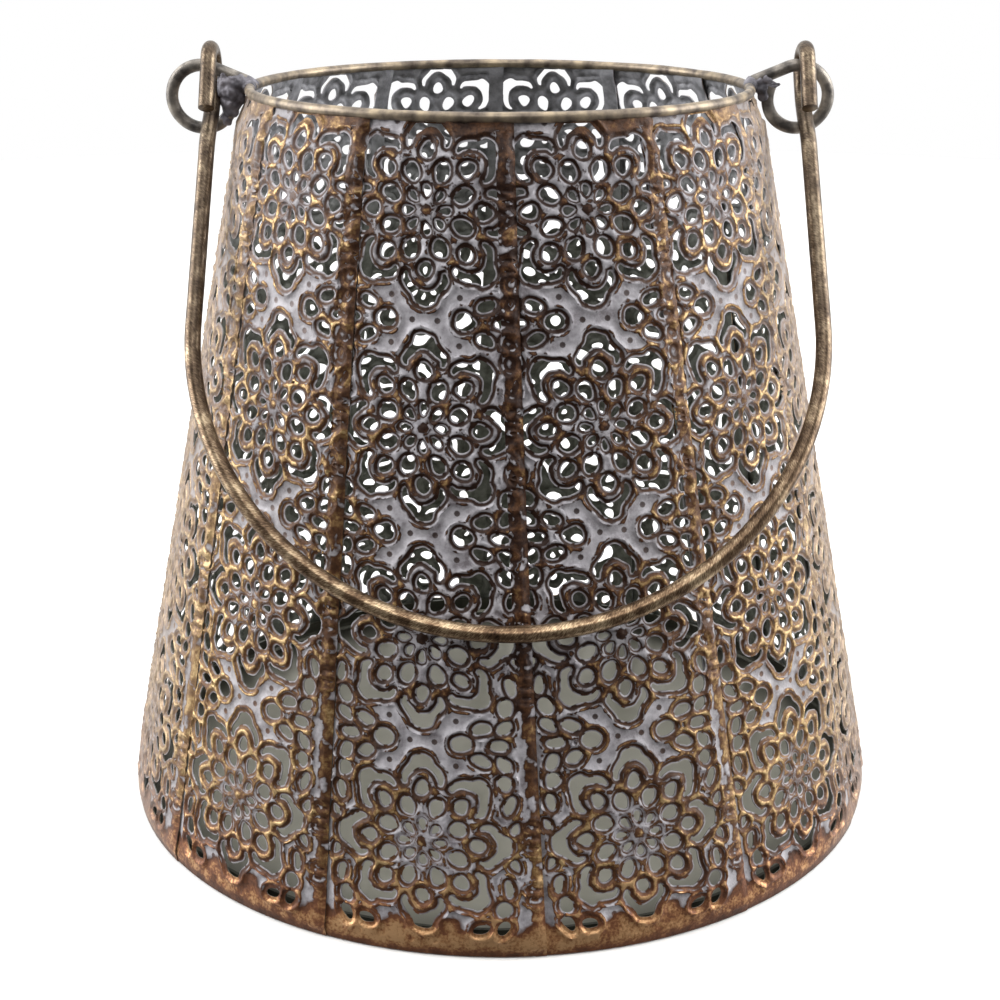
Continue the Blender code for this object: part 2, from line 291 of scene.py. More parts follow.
def side_limit(along):
    """Half width between the laps at a height of the flat gore."""
    return (APEX - along) * math.sin(seam_turn(along, -1) * WALL_SINE)


def resample(loop, step=EDGE_STEP):
    """Points at even steps along a closed loop."""
    ring = loop + loop[:1]
    lengths = [math.dist(a, b) for a, b in zip(ring, ring[1:])]
    total = sum(lengths)
    count = max(8, round(total / step))
    points = []
    index, passed = 0, 0.0
    for number in range(count):
        place = total * number / count
        while passed + lengths[index] < place:
            passed += lengths[index]
            index += 1
        part = (place - passed) / lengths[index]
        a, b = ring[index], ring[index + 1]
        points.append((a[0] + (b[0] - a[0]) * part, a[1] + (b[1] - a[1]) * part))
    return points


def smooth_loop(corners):
    """Closed smooth curve through a few corners."""
    count = len(corners)
    fine = []
    for index in range(count):
        a, b, c, d = (Vector(corners[(index + shift) % count]) for shift in (-1, 0, 1, 2))
        square, cube = 2 * a - 5 * b + 4 * c - d, 3 * b - a - 3 * c + d
        for part in (0.0, 0.2, 0.4, 0.6, 0.8):
            bend = (c - a) * part + square * part ** 2 + cube * part ** 3
            fine.append(tuple(b + bend / 2))
    return fine


def oval(centre, length, width, angle, taper=0.0):
    """Oval opening with its length along angle in degrees, wider at that end by taper."""
    lead = math.radians(angle)
    points = []
    for index in range(OVAL_STEPS):
        turn = math.tau * index / OVAL_STEPS
        run = length / 2 * math.cos(turn)
        rise = width / 2 * math.sin(turn) * (1.0 + taper * math.cos(turn))
        x = centre[0] + run * math.cos(lead) - rise * math.sin(lead)
        y = centre[1] + run * math.sin(lead) + rise * math.cos(lead)
        points.append((x, y))
    return points


def turned(loop, angle, centre):
    """Loop of (outward, sideways) points turned about a rosette's centre."""
    lead = math.radians(angle)
    out, side = math.cos(lead), math.sin(lead)
    return [(centre[0] + r * out - s * side, centre[1] + r * side + s * out) for r, s in loop]


# Half outline of a rosette's outer crescent as (outward, sideways), from its point round to its inner edge
CRESCENT_HALF = (
    (20.5, 0.0), (19.8, 2.1), (18.2, 2.9), (16.6, 4.3), (14.9, 5.2), (13.3, 4.9),
    (12.8, 4.2), (13.1, 3.5), (14.3, 3.3), (15.6, 2.3), (16.6, 0.9),
)
# Other openings of a rosette: place as a share of the angle between petals, radius, length, width and taper
ROSETTE_OVALS = (
    (0.0, 4.0, 3.2, 2.1, 0.3),
    (0.0, 12.5, 4.0, 3.5, -0.15),
    (0.5, 8.55, 4.7, 3.6, 0.12),
)


def crescent():
    """Whole crescent outline."""
    left = [(r, -s) for r, s in reversed(CRESCENT_HALF[1:])]
    return smooth_loop(list(CRESCENT_HALF) + left)


def rosette_openings(centre):
    """Four rings of eight openings round a rosette's centre."""
    loops = []
    outer = crescent()
    for index in range(PETAL_COUNT):
        for shift, radius, length, width, taper in ROSETTE_OVALS:
            angle = (index + shift) * PETAL_ANGLE
            lead = math.radians(angle)
            place = (centre[0] + radius * math.cos(lead), centre[1] + radius * math.sin(lead))
            loops.append(oval(place, length, width, angle, taper))
        loops.append(turned(outer, index * PETAL_ANGLE, centre))
    return loops


# Openings beside a rosette: across and along from its centre, length, width, angle and taper
SIDE_OPENINGS = (
    (18.4, 14.6, 3.7, 4.3, 20.0, 0.0),
    (19.5, 9.7, 4.8, 2.7, 75.0, 0.0),
    (20.8, 4.4, 3.2, 2.0, 60.0, -0.4),
)
# Openings between two rows: across from the centre line, along from the middle, length, width, angle, taper
MIDDLE_OPENINGS = (
    (8.9, 0.0, 5.0, 4.3, 0.0, -0.15),
    (13.2, 3.6, 4.6, 3.0, 20.0, 0.0),
    (13.2, -3.6, 4.6, 3.0, -20.0, 0.0),
    (17.1, 0.0, 4.6, 2.8, 0.0, 0.0),
    (18.2, 4.2, 4.4, 3.1, 50.0, 0.1),
    (18.2, -4.2, 4.4, 3.1, -50.0, 0.1),
)
MIDDLE_DOTS = ((2.8, 0.0), (7.6, 5.1), (7.6, -5.1))
# Blocked slots on the lap, which leave rungs between them: heights from a row's centre
LAP_SLOTS = (-12.0, -9.6, 0.0, 2.4, 4.8)


def gore_openings():
    """Outlines of all openings of one gore, and the places of its dots and bosses."""
    loops, dots, bosses = [], [], []
    for row in range(-1, ROW_COUNT):
        centre = (0.0, FIRST_ROW + row * ROW_PITCH)
        middle = centre[1] + ROW_PITCH / 2
        for hand in (-1, 1):
            for x, y, length, width, angle, taper in MIDDLE_OPENINGS:
                turn = angle if hand > 0 else 180.0 - angle
                loops.append(oval((hand * x, middle + y), length, width, turn, taper))
            dots += [(hand * x, middle + y) for x, y in MIDDLE_DOTS]
        if row < 0:
            continue
        bosses.append(centre)
        loops += rosette_openings(centre)
        for hand in (-1, 1):
            for flip in (-1, 1):
                for x, y, length, width, angle, taper in SIDE_OPENINGS:
                    turn = angle * flip if hand > 0 else 180.0 - angle * flip
                    loops.append(oval((hand * x, centre[1] + flip * y), length, width, turn, taper))
    return loops, dots, bosses


def lap_slots():
    """Shallow slots pressed across the lapping edge."""
    loops = []
    for row in range(ROW_COUNT):
        for shift in LAP_SLOTS:
            along = FIRST_ROW + row * ROW_PITCH + shift
            across = side_limit(along) + LAP / 2 + SLOT_SHIFT
            loops.append(oval((across, along), SLOT_LENGTH, SLOT_WIDTH, 0.0))
    return loops


def is_pierced(point):
    """Whether openings go through the sheet here."""
    across, along = point
    return abs(across) < side_limit(along) and FOOT_BAND < along < PIERCED_TOP


def gore_place(point):
    """Slant height of a flat point and its distance in from the nearer side edge."""
    reach = math.hypot(point[0], APEX - point[1])
    height = APEX - reach
    turn = math.atan2(point[0], APEX - point[1]) / WALL_SINE
    return height, (seam_turn(height, 1) - abs(turn)) * reach * WALL_SINE


def gore_region(point, margin):
    """Whether a flat point lies on the gore, clear of its outline by margin."""
    height, inset = gore_place(point)
    return inset > margin and FOOT_EDGE + margin < height < SHEET_TOP - margin


def gore_border():
    """Outline of the flat gore, and the lines where piercing stops at its laps, foot band and head."""
    heights = [FOOT_EDGE + (SHEET_TOP - FOOT_EDGE) * index / SIDE_STEPS for index in range(SIDE_STEPS + 1)]
    right = [flat_point(height, seam_turn(height, 1)) for height in heights]
    left = [flat_point(height, -seam_turn(height, 1)) for height in reversed(heights)]
    foot_turn, head_turn = seam_turn(FOOT_EDGE, 1), seam_turn(SHEET_TOP, 1)
    foot_turns = [foot_turn * (2 * index / FOOT_STEPS - 1) for index in range(1, FOOT_STEPS)]
    head_turns = [head_turn * (1 - 2 * index / HEAD_STEPS) for index in range(1, HEAD_STEPS)]
    foot = [flat_point(FOOT_EDGE, turn) for turn in foot_turns]
    head = [flat_point(SHEET_TOP, turn) for turn in head_turns]
    lines = []
    for hand in (-1, 1):
        lines.append([flat_point(height, hand * seam_turn(height, -1)) for height in heights[2:-2]])
    for along in (FOOT_BAND, PIERCED_TOP):
        limit = side_limit(along)
        lines.append([(limit * (2 * index / HEAD_STEPS - 1), along) for index in range(HEAD_STEPS + 1)])
    return foot + right + head + left, lines


def ring_points(loop, distance):
    """Points at a distance outside a closed anticlockwise loop."""
    points = []
    for before, point, after in zip(loop[-1:] + loop[:-1], loop, loop[1:] + loop[:1]):
        way = Vector((after[0] - before[0], after[1] - before[1])).normalized()
        points.append((point[0] + way.y * distance, point[1] - way.x * distance))
    return points


class PointStore:
    """Flat points with a least spacing between the loose ones."""

    def __init__(self):
        self.points = []
        self.cells = {}

    def add(self, point):
        """Add a point as it is."""
        self.cells.setdefault((round(point[0] / POINT_GAP), round(point[1] / POINT_GAP)), []).append(point)
        self.points.append(Vector(point))

    def add_loose(self, point):
        """Add a point unless another is too close."""
        column, row = round(point[0] / POINT_GAP), round(point[1] / POINT_GAP)
        for x in (column - 1, column, column + 1):
            for y in (row - 1, row, row + 1):
                for other in self.cells.get((x, y), ()):
                    if math.dist(point, other) < POINT_GAP:
                        return
        self.add(point)

    def add_chain(self, chain, closed):
        """Add a chain of points, a closed one only where it lies on the gore, and give its edges."""
        places = []
        for point in chain:
            on_gore = gore_region(point, CHAIN_CLEAR) or not closed
            places.append(len(self.points) if on_gore else None)
            if on_gore:
                self.add(point)
        pairs = zip(places, places[1:] + places[:1] if closed else places[1:])
        return [(a, b) for a, b in pairs if a is not None and b is not None]


def holds(loop, point):
    """Whether a closed loop surrounds a point."""
    inside = False
    x, y = point
    for (ax, ay), (bx, by) in zip(loop, loop[1:] + loop[:1]):
        if (ay > y) != (by > y) and x < ax + (bx - ax) * (y - ay) / (by - ay):
            inside = not inside
    return inside


class Openings:
    """Tells how far a flat point is from the cut edges, and whether it lies in an opening."""

    def __init__(self, loops):
        self.cells = {}
        self.owners = []
        fine = []
        for number, loop in enumerate(loops):
            columns = [math.floor(x / OPENING_CELL) for x, y in loop]
            rows = [math.floor(y / OPENING_CELL) for x, y in loop]
            for column in range(min(columns), max(columns) + 1):
                for row in range(min(rows), max(rows) + 1):
                    self.cells.setdefault((column, row), []).append(loop)
            edge = resample(loop, EDGE_STEP / 4)
            fine += edge
            self.owners += [number] * len(edge)
        self.tree = kdtree.KDTree(len(fine))
        for index, point in enumerate(fine):
            self.tree.insert((*point, 0.0), index)
        self.tree.balance()

    def hold(self, point):
        """Whether a point lies in an opening."""
        key = (math.floor(point[0] / OPENING_CELL), math.floor(point[1] / OPENING_CELL))
        return any(holds(loop, point) for loop in self.cells.get(key, ()))

    def distance(self, point):
        """Distance to the nearest cut edge."""
        return self.tree.find((*point, 0.0))[2]

    def two_distances(self, point):
        """Distances to the nearest cut edge and to the nearest one of another opening."""
        nearest = {}
        for place, index, distance in self.tree.find_range((*point, 0.0), RIDGE_REACH):
            owner = self.owners[index]
            nearest[owner] = min(distance, nearest.get(owner, distance))
        return (sorted(nearest.values()) + [RIDGE_REACH, RIDGE_REACH])[:2]


def waver(point, size, shift):
    """Smooth random value from -1 to 1 that changes over a size in millimetres; shift picks the noise."""
    return noise.noise(Vector((point[0] / size, point[1] / size, shift)))


def uneven(loop):
    """Loop with the small unevenness that the press and the paint leave."""
    points = []
    for point in loop:
        shift_x = EDGE_WAVER * waver(point, *EDGE_ACROSS)
        shift_y = EDGE_WAVER * waver(point, *EDGE_ALONG)
        points.append((point[0] + shift_x, point[1] + shift_y))
    return points


def in_pit(point, openings):
    """Whether a point lies in an opening that the lap blocks."""
    return point[0] > side_limit(point[1]) and openings.distance(point) > 0.1 and openings.hold(point)


def punched_loops():
    """Cut edges of one gore and of its blocked slots, and the places of its dots and bosses."""
    loops, dots, bosses = gore_openings()
    loops = [loop for loop in loops if FOOT_BAND < sum(y for x, y in loop) / len(loop) < PIERCED_TOP]
    loops = [uneven(ring_points(resample(loop), -EDGE_INSET)) for loop in loops]
    return loops + [resample(loop) for loop in lap_slots()], dots, bosses


def add_outline(store, loops):
    """Add a gore's outline and its cut edges; give the edges to keep and the outline's point count."""
    border, lines = gore_border()
    edges = []
    for index in range(len(border)):
        store.add(border[index])
        edges.append((index, (index + 1) % len(border)))
    for line in lines:
        edges += store.add_chain(line, False)
    for loop in loops:
        edges += store.add_chain(loop, True)
    return edges, len(border)


def add_ridge_points(store, loops, openings):
    """Add points where the ridges rise beside the cut edges and where the blocked slots sink."""
    for distance in RIDGE_LINES:
        for loop in loops:
            for point in ring_points(loop, distance):
                if openings.distance(point) > distance * LINE_SHARE and gore_region(point, POINT_CLEAR):
                    store.add_loose(point)
    for loop in loops:
        for distance in PIT_LINES:
            for point in ring_points(loop, distance):
                if in_pit(point, openings) and gore_region(point, POINT_CLEAR):
                    store.add_loose(point)


def add_round_points(store, dots, bosses):
    """Add rings of points on the dots and bosses."""
    rounds = [(dot, DOT_LINES) for dot in dots] + [(boss, BOSS_LINES) for boss in bosses]
    for centre, radii in rounds:
        for radius in radii:
            for index in range(ROUND_STEPS if radius else 1):
                turn = math.tau * index / ROUND_STEPS
                point = (centre[0] + radius * math.cos(turn), centre[1] + radius * math.sin(turn))
                if gore_region(point, POINT_CLEAR):
                    store.add_loose(point)


def add_grid_points(store, openings):
    """Add a fine grid of points on the lap and a wider one on the flats."""
    for row in range(round(SHEET_TOP / LAP_GRID)):
        for column in range(round(LAP / LAP_GRID)):
            along = row * LAP_GRID
            point = (side_limit(along) + column * LAP_GRID, along)
            if gore_region(point, POINT_CLEAR) and openings.distance(point) > POINT_GAP:
                store.add_loose(point)
    for column in range(-FLAT_COLUMNS, FLAT_COLUMNS + 1):
        for row in range(FLAT_ROWS):
            point = (column * FLAT_GRID, row * FLAT_GRID)
            if gore_region(point, FLAT_CLEAR) and openings.distance(point) > RIDGE_LINES[-1]:
                store.add_loose(point)


def flat_gore():
    """Pierced flat sheet: points, triangles, its openings, its dots and its bosses."""
    loops, dots, bosses = punched_loops()
    openings = Openings(loops)
    store = PointStore()
    edges, outline = add_outline(store, loops)
    add_ridge_points(store, loops, openings)
    add_round_points(store, dots, bosses)
    add_grid_points(store, openings)
    result = delaunay_2d_cdt(store.points, edges, [list(range(outline))], 1, 1e-6)
    flat, faces = result[0], result[2]
    kept = []
    for face in faces:
        middle = sum((flat[corner] for corner in face), Vector((0.0, 0.0))) / 3
        if not (is_pierced(middle) and openings.hold(middle)):
            kept.append(face)
    return flat, kept, openings, dots, bosses


def ridge(near, next_near):
    """Height of the ridges from 0 to 1: one beside each cut edge, or one along a narrow bar's middle."""
    part = (near - RIDGE_START) / RIDGE_WIDTH
    beside = math.sin(math.pi * part) if 0.0 < part < 1.0 else 0.0
    bar = near + next_near
    width = min(RIDGE_WIDTH, bar - 2 * RIDGE_START)
    part = (near - bar / 2) / width if width > 0.0 else 1.0
    between = math.cos(math.pi * part) if abs(part) < 0.5 else 0.0
    wide = smooth_step((bar - NARROW_BAR) / (WIDE_BAR - NARROW_BAR))
    return beside * wide + between * (1.0 - wide)


def lowness(along):
    """How low on the wall a flat point lies: 1 towards the foot, 0 from the middle up."""
    return smooth_step((LOW_TOP - along) / LOW_RUN)


def gild_base(point, height, openings):
    """How far the brass shows on the lap, the foot's band and the strip under the rim."""
    across, along = point
    mottle = 0.4 + 0.6 * waver(point, *LAP_BLOTCHES) + 0.5 * waver(point, *LAP_SPECKS)
    start = side_limit(along) + LAP_START + LAP_RETREAT * lowness(along)
    start += LAP_WAVER * waver(point, *LAP_WANDER)
    on_lap = smooth_step((across - start) / LAP_FADE) * mottle
    if on_lap > 0.0 and in_pit(point, openings):
        on_lap = 0.0 if waver(point, *PIT_WASH) > PIT_WASHED else PIT_GILD
    band_top = BAND_TOP + BAND_WAVER * waver(point, *BAND_WANDER)
    on_band = BAND_GILD * smooth_step((band_top - height) / BAND_FADE)
    # Painted shade: the band darkens low down, where the hem turns in under it
    on_band *= 0.3 + 0.7 * smooth_step((height - FOOT_EDGE) / HEM_HEIGHT)
    by_rim = smooth_step((height - SHEET_TOP + HEAD_WORN) / HEAD_FADE)
    on_head = HEAD_GILD * by_rim * smooth_step(0.7 + 1.5 * waver(point, *HEAD_PATCHES))
    return max(on_lap, on_band, on_head)


def gild_share(point, bosses):
    """Part of the ridges' brass that shows: less near a rosette's centre, least so low on the wall."""
    nearest = min(math.dist(point, boss) for boss in bosses)
    low = lowness(point[1])
    least = HEART_SHARE - HEART_LOSS * low
    return least + (1.0 - least) * smooth_step((nearest - HEART_RADIUS - HEART_GROWTH * low) / HEART_FADE)


def emboss(point, openings, dots, bosses):
    """Lift of a flat point in millimetres, its gild, and how much of a bare crest it is."""
    across, along = point
    height, inset = gore_place(point)
    near, next_near = openings.two_distances(point)
    wander = RIDGE_WAVER * waver(point, *RIDGE_WANDER)
    crest = ridge(near + wander, next_near - wander)
    share = gild_share(point, bosses)
    lip = LIP + LIP_WAVER * waver(point, *LIP_WANDER)
    patina_end = PATINA_WIDTH * (0.4 + 0.6 * share) + wander
    patina = PATINA * smooth_step((near - lip) / LIP_FADE) * smooth_step((patina_end - near) / PATINA_FADE)
    gild = max(patina, gild_base(point, height, openings))
    bare = crest ** 3 * share
    crest *= (0.5 + 0.5 * share) * (0.85 + 0.3 * waver(point, *CREST_WANDER))
    if across < -side_limit(along):
        crest = 0.0
    if across > side_limit(along):
        crest *= LAP_CREST
    lift = FLAT_LEVEL + RIDGE_HEIGHT * crest
    if in_pit(point, openings):
        lift = FLAT_LEVEL - PIT_DEPTH
    dome = max(1.0 - math.dist(point, boss) / BOSS_RADIUS for boss in bosses)
    if dome > 0.0:
        lift = max(lift, FLAT_LEVEL + RIDGE_HEIGHT * math.sqrt(dome))
        gild = max(gild, PATINA)
        bare = BOSS_BARE * smooth_step(dome * 2.0)
    dent = max(1.0 - math.dist(point, dot) / DOT_RADIUS for dot in dots)
    if dent > -0.01:
        lift -= DOT_DEPTH * max(dent, 0.0)
        gild = max(gild, DOT_GILD)
        bare = 0.0
    if across > 0.0:
        pressed = smooth_step(1.0 - inset / CURL_WIDTH)
        lift -= EDGE_CURL * pressed * smooth_step((height - CURL_START) / SETTLE_HEIGHT)
    lift -= HEM_CURL * smooth_step(1.0 - (height - FOOT_EDGE) / HEM_HEIGHT)
    return lift, gild, bare


def flat_mesh():
    """Flat pierced sheet with three values on its points: lift in metres, gild and bare crest."""
    flat, faces, openings, dots, bosses = flat_gore()
    mesh = bpy.data.meshes.new("flat_gore")
    mesh.from_pydata([(x * MM, y * MM, 0.0) for x, y in flat], [], faces)
    lifts, gilds, crests = zip(*[emboss(point, openings, dots, bosses) for point in flat])
    for name, values in (("lift", [lift * MM for lift in lifts]), ("gild", gilds), ("crest", crests)):
        mesh.attributes.new(name, "FLOAT", "POINT").data.foreach_set("value", values)
    return mesh


# Steps that roll a flat point onto the cone: result, operation and what it works on
ROLL_STEPS = (
    ("fall", "SUBTRACT", "Apex Reach", "x1"),
    ("square across", "MULTIPLY", "x0", "x0"),
    ("square fall", "MULTIPLY", "fall", "fall"),
    ("squares", "ADD", "square across", "square fall"),
    ("reach", "SQRT", "squares", None),
    ("fan", "ARCTAN2", "x0", "fall"),
    ("turn", "DIVIDE", "fan", "Wall Sine"),
    ("height", "SUBTRACT", "Apex Reach", "reach"),
    ("share", "DIVIDE", "height", "Head Edge"),
    ("thickness", "MULTIPLY", "x2", "Sheet"),
    ("depth", "ADD", "lift", "thickness"),
    ("cone radius", "MULTIPLY", "reach", "Wall Sine"),
    ("depth out", "MULTIPLY", "depth", "Wall Cosine"),
    ("radius on wall", "ADD", "cone radius", "depth out"),
    ("step per turn", "DIVIDE", "Shingle", "Half Gore"),
    ("step", "MULTIPLY", "step per turn", "turn"),
    ("settled step", "MULTIPLY", "step", "settle"),
    ("radius in lap", "ADD", "radius on wall", "settled step"),
    ("radius", "SUBTRACT", "radius in lap", "tuck"),
    ("lean", "MULTIPLY", "share", "Lean"),
    ("place", "ADD", "turn", "Gore Angle"),
    ("angle", "SUBTRACT", "place", "lean"),
    ("sine", "SINE", "angle", None),
    ("cosine", "COSINE", "angle", None),
    ("right", "MULTIPLY", "radius", "sine"),
    ("back", "MULTIPLY", "radius", "cosine"),
    ("front", "MULTIPLY", "back", -1.0),
    ("height up", "MULTIPLY", "height", "Wall Cosine"),
    ("depth up", "MULTIPLY", "depth", "Wall Sine"),
    ("up", "ADD", "height up", "depth up"),
)


def new_tree(name, inputs):
    """Empty geometry tree with a geometry in and out and the given inputs."""
    tree = bpy.data.node_groups.new(name, "GeometryNodeTree")
    tree.interface.new_socket("Geometry", in_out="INPUT", socket_type="NodeSocketGeometry")
    for label, kind in inputs:
        tree.interface.new_socket(label, in_out="INPUT", socket_type=kind)
    tree.interface.new_socket("Geometry", in_out="OUTPUT", socket_type="NodeSocketGeometry")
    return tree, add_node(tree, "NodeGroupInput").outputs


def close_tree(tree, geometry, material):
    """Realize, shade smooth, give the material and hand the geometry out."""
    solid = add_node(tree, "GeometryNodeRealizeInstances", {"Geometry": geometry})
    smooth = add_node(tree, "GeometryNodeSetShadeSmooth", {"Geometry": solid})
    painted = add_node(tree, "GeometryNodeSetMaterial", {"Geometry": smooth, "Material": material})
    add_node(tree, "NodeGroupOutput", {"Geometry": painted})


def thickened(tree, sheet, parts):
    """Slab with the flat sheet as its outside, and the value inner at 1 on its inside."""
    inward = add_node(tree, "ShaderNodeCombineXYZ", {2: -1.0})
    pushed = add_node(
        tree, "GeometryNodeExtrudeMesh",
        {"Mesh": sheet, "Offset": inward, "Offset Scale": 1.0, "Individual": False},
    )
    back = add_node(tree, "GeometryNodeFlipFaces", {"Mesh": pushed})
    both = add_node(tree, "GeometryNodeJoinGeometry")
    tree.links.new(sheet, both.inputs[0])
    tree.links.new(back.outputs[0], both.inputs[0])
    slab = add_node(tree, "GeometryNodeMergeByDistance", {"Geometry": both, "Distance": 1e-6})
    inner = add_node(tree, "ShaderNodeMath", {0: parts[2], 1: -1.0}, operation="MULTIPLY")
    return add_node(
        tree, "GeometryNodeStoreNamedAttribute", {"Geometry": slab, "Name": "inner", "Value": inner},
        data_type="FLOAT", domain="POINT",
    )


def roll_tree():
    """Geometry tree that thickens a flat gore and rolls it onto the leaning cone."""
    labels = (
        "Gore Angle", "Apex Reach", "Wall Sine", "Wall Cosine", "Half Gore", "Shingle",
        "Lean", "Head Edge", "Tuck", "Tuck Start", "Settle", "Settle Height", "Sheet",
    )
    inputs = [(label, "NodeSocketFloat") for label in labels]
    tree, given = new_tree("roll_gore", inputs + [("Material", "NodeSocketMaterial")])
    place = add_node(tree, "GeometryNodeInputPosition")
    parts = add_node(tree, "ShaderNodeSeparateXYZ", {"Vector": place}).outputs
    slab = thickened(tree, given["Geometry"], parts)
    lift = add_node(tree, "GeometryNodeInputNamedAttribute", {"Name": "lift"}, data_type="FLOAT")
    known = {label: given[label] for label in labels}
    known.update(x0=parts[0], x1=parts[1], x2=parts[2], lift=lift)
    eased = {
        "settled step": ("settle", 0.0, given["Settle Height"], given["Settle"], 1.0),
        "radius": ("tuck", given["Tuck Start"], given["Head Edge"], 0.0, given["Tuck"]),
    }
    for name, operation, first, second in ROLL_STEPS:
        if name in eased:
            label, low, high, start, stop = eased[name]
            feeds = {0: known["height"], 1: low, 2: high, 3: start, 4: stop}
            known[label] = add_node(tree, "ShaderNodeMapRange", feeds, interpolation_type="SMOOTHSTEP")
        feeds = {0: known[first]}
        if second is not None:
            feeds[1] = known.get(second, second)
        known[name] = add_node(tree, "ShaderNodeMath", feeds, operation=operation)
    spot = add_node(tree, "ShaderNodeCombineXYZ", {0: known["right"], 1: known["front"], 2: known["up"]})
    rolled = add_node(tree, "GeometryNodeSetPosition", {"Geometry": slab, "Position": spot})
    close_tree(tree, rolled, given["Material"])
    return tree


def wire_tree():
    """Geometry tree that gives a line a round section, and stores the place along and around it."""
    tree, given = new_tree("bent_wire", (
        ("Wire Radius", "NodeSocketFloat"), ("Sides", "NodeSocketInt"), ("Waviness", "NodeSocketFloat"),
        ("Wave Scale", "NodeSocketFloat"), ("Material", "NodeSocketMaterial"),
    ))
    line = add_node(tree, "GeometryNodeMeshToCurve", {"Mesh": given["Geometry"]})
    section = {"Resolution": given["Sides"], "Radius": given["Wire Radius"]}
    ring = add_node(tree, "GeometryNodeCurvePrimitiveCircle", section)
    spot = add_node(tree, "GeometryNodeSplineParameter").outputs
    along = add_node(
        tree, "GeometryNodeStoreNamedAttribute",
        {"Geometry": line, "Name": "along", "Value": spot["Length"]},
        data_type="FLOAT", domain="POINT",
    )
    around = add_node(
        tree, "GeometryNodeStoreNamedAttribute",
        {"Geometry": ring, "Name": "around", "Value": spot["Factor"]},
        data_type="FLOAT", domain="POINT",
    )
    tube = add_node(
        tree, "GeometryNodeCurveToMesh", {"Curve": along, "Profile Curve": around, "Fill Caps": True},
    )
    rough = add_node(tree, "ShaderNodeTexNoise", {"Scale": given["Wave Scale"], "Detail": 2.0})
    swing = add_node(tree, "ShaderNodeMath", {0: rough, 1: 0.5}, operation="SUBTRACT")
    push = add_node(tree, "ShaderNodeMath", {0: swing, 1: given["Waviness"]}, operation="MULTIPLY")
    out = add_node(tree, "GeometryNodeInputNormal")
    shift = add_node(tree, "ShaderNodeVectorMath", {0: out, "Scale": push}, operation="SCALE")
    wavy = add_node(tree, "GeometryNodeSetPosition", {"Geometry": tube, "Offset": shift})
    close_tree(tree, wavy, given["Material"])
    return tree


def grown(name, source, tree, values):
    """Plain mesh object that a geometry tree makes from a source mesh."""
    seed = bpy.data.objects.new(name, source)
    bpy.context.scene.collection.objects.link(seed)
    modifier = seed.modifiers.new("grow", "NODES")
    modifier.node_group = tree
    for item in tree.interface.items_tree:
        if item.in_out == "INPUT" and item.name in values:
            modifier[item.identifier] = values[item.name]
    graph = bpy.context.evaluated_depsgraph_get()
    mesh = bpy.data.meshes.new_from_object(seed.evaluated_get(graph))
    mesh.name = name
    seed.modifiers.remove(modifier)
    seed.data = mesh
    return seed


def hand_over(piece, body, node=None):
    """Say which body a piece rides, and hide the CAD node that it stands for."""
    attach(piece, body)
    if node:
        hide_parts(node)


# Finishes

# Colour stops as (place, colour)
BRASS_STOPS = ((0.12, "#2a150a"), (0.34, "#5e3f29"), (0.56, "#92734b"), (0.8, "#c2a577"))
BAND_STOPS = ((0.12, "#2a150d"), (0.5, "#7d5138"), (0.68, "#b08259"), (0.9, "#d2a679"))
WASH_STOPS = ((0.32, "#7d777b"), (0.48, "#a9a6ab"), (0.64, "#c2bfc4"))
LOW_INSIDE_STOPS = ((0.35, "#54564d"), (0.65, "#7c7e76"))
# Painted light: the inside's paler colours by the mouth, where light falls in
LIT_MOUTH_INSIDE_STOPS = ((0.35, "#6f6f72"), (0.65, "#a3a3a8"))
RIM_STOPS = ((0.33, "#544a42"), (0.5, "#887b6b"), (0.67, "#b2a187"))
EYE_STOPS = ((0.35, "#4d4946"), (0.5, "#827c75"), (0.65, "#aea69b"))
BAIL_STOPS = ((0.36, "#38281d"), (0.5, "#7f664e"), (0.64, "#e2c9a4"))
# Painted shade: the darker colours of the bail's arms and hooks
SHADED_HOOK_STOPS = ((0.36, "#2d2620"), (0.5, "#564c41"), (0.64, "#877a68"))
WELD_STOPS = ((0.35, "#4c4a50"), (0.65, "#95929a"))
PAN_STOPS = ((0.35, "#b5b2a4"), (0.65, "#c6c3b6"))
FLOOR_STOPS = ((0.4, "#f6f6f5"), (0.6, "#f9f9f8"))
ROOM_STOPS = ((0.1, "#5a5856"), (0.3, "#7a7876"), (0.5, "#ffffff"))
DULL_WASH = "#665c4b"
FAR_SIDE_GREY = "#a09389"
PAN_SHADE_AND_GRIME = (78.0, 95.0, "#4d4c43")   # radii between which the pan darkens by the wall with grime and painted shade, and that dark colour

# Ranges of the finishes: 1 and 2 bound what goes in, noise or metres, and 3 and 4 what comes out
BLOTCH_SHARE = {1: 0.36, 2: 0.64, 3: 0.5, 4: 1.2}      # brass left by the blotches
SPECK_SHARE = {1: 0.36, 2: 0.62, 3: 0.66, 4: 1.12}     # brass left by the specks
LIT_SIDE_SHARE = {1: 0.015, 2: 0.055, 3: 0.62, 4: 0.88}    # painted light: brass left, from the darker front to the sides, where the side lamps fall
FOOT_MOST = {1: 0.03, 2: 0.08, 3: 1.2, 4: 0.4}         # wear of the foot, from the front to the sides
FOOT_WEAR = {1: 0.07, 2: 0.008, 3: 0.0}                # how it grows down to the foot
LIT_SIDE_CRESTS = {1: 0.01, 2: 0.06, 3: -0.05, 4: 0.12}     # painted light: bare crests, from the front to the sides, where the side lamps fall
CREST_BARE = {1: 0.42, 2: 0.64, 3: 0.0, 4: 1.0}        # from covered crests to bare ones
LIT_SIDE_MOST = {1: 0.03, 2: 0.008, 3: 0.32, 4: 0.1}       # wear and painted light of the sides, less by the foot
LIT_SIDE_RUB = {1: 0.015, 2: 0.085, 3: 0.0}               # how it grows towards the sides
BAND_RISE = {1: 0.022, 2: 0.009, 3: 0.0, 4: 1.0}       # from the wall to the foot's band
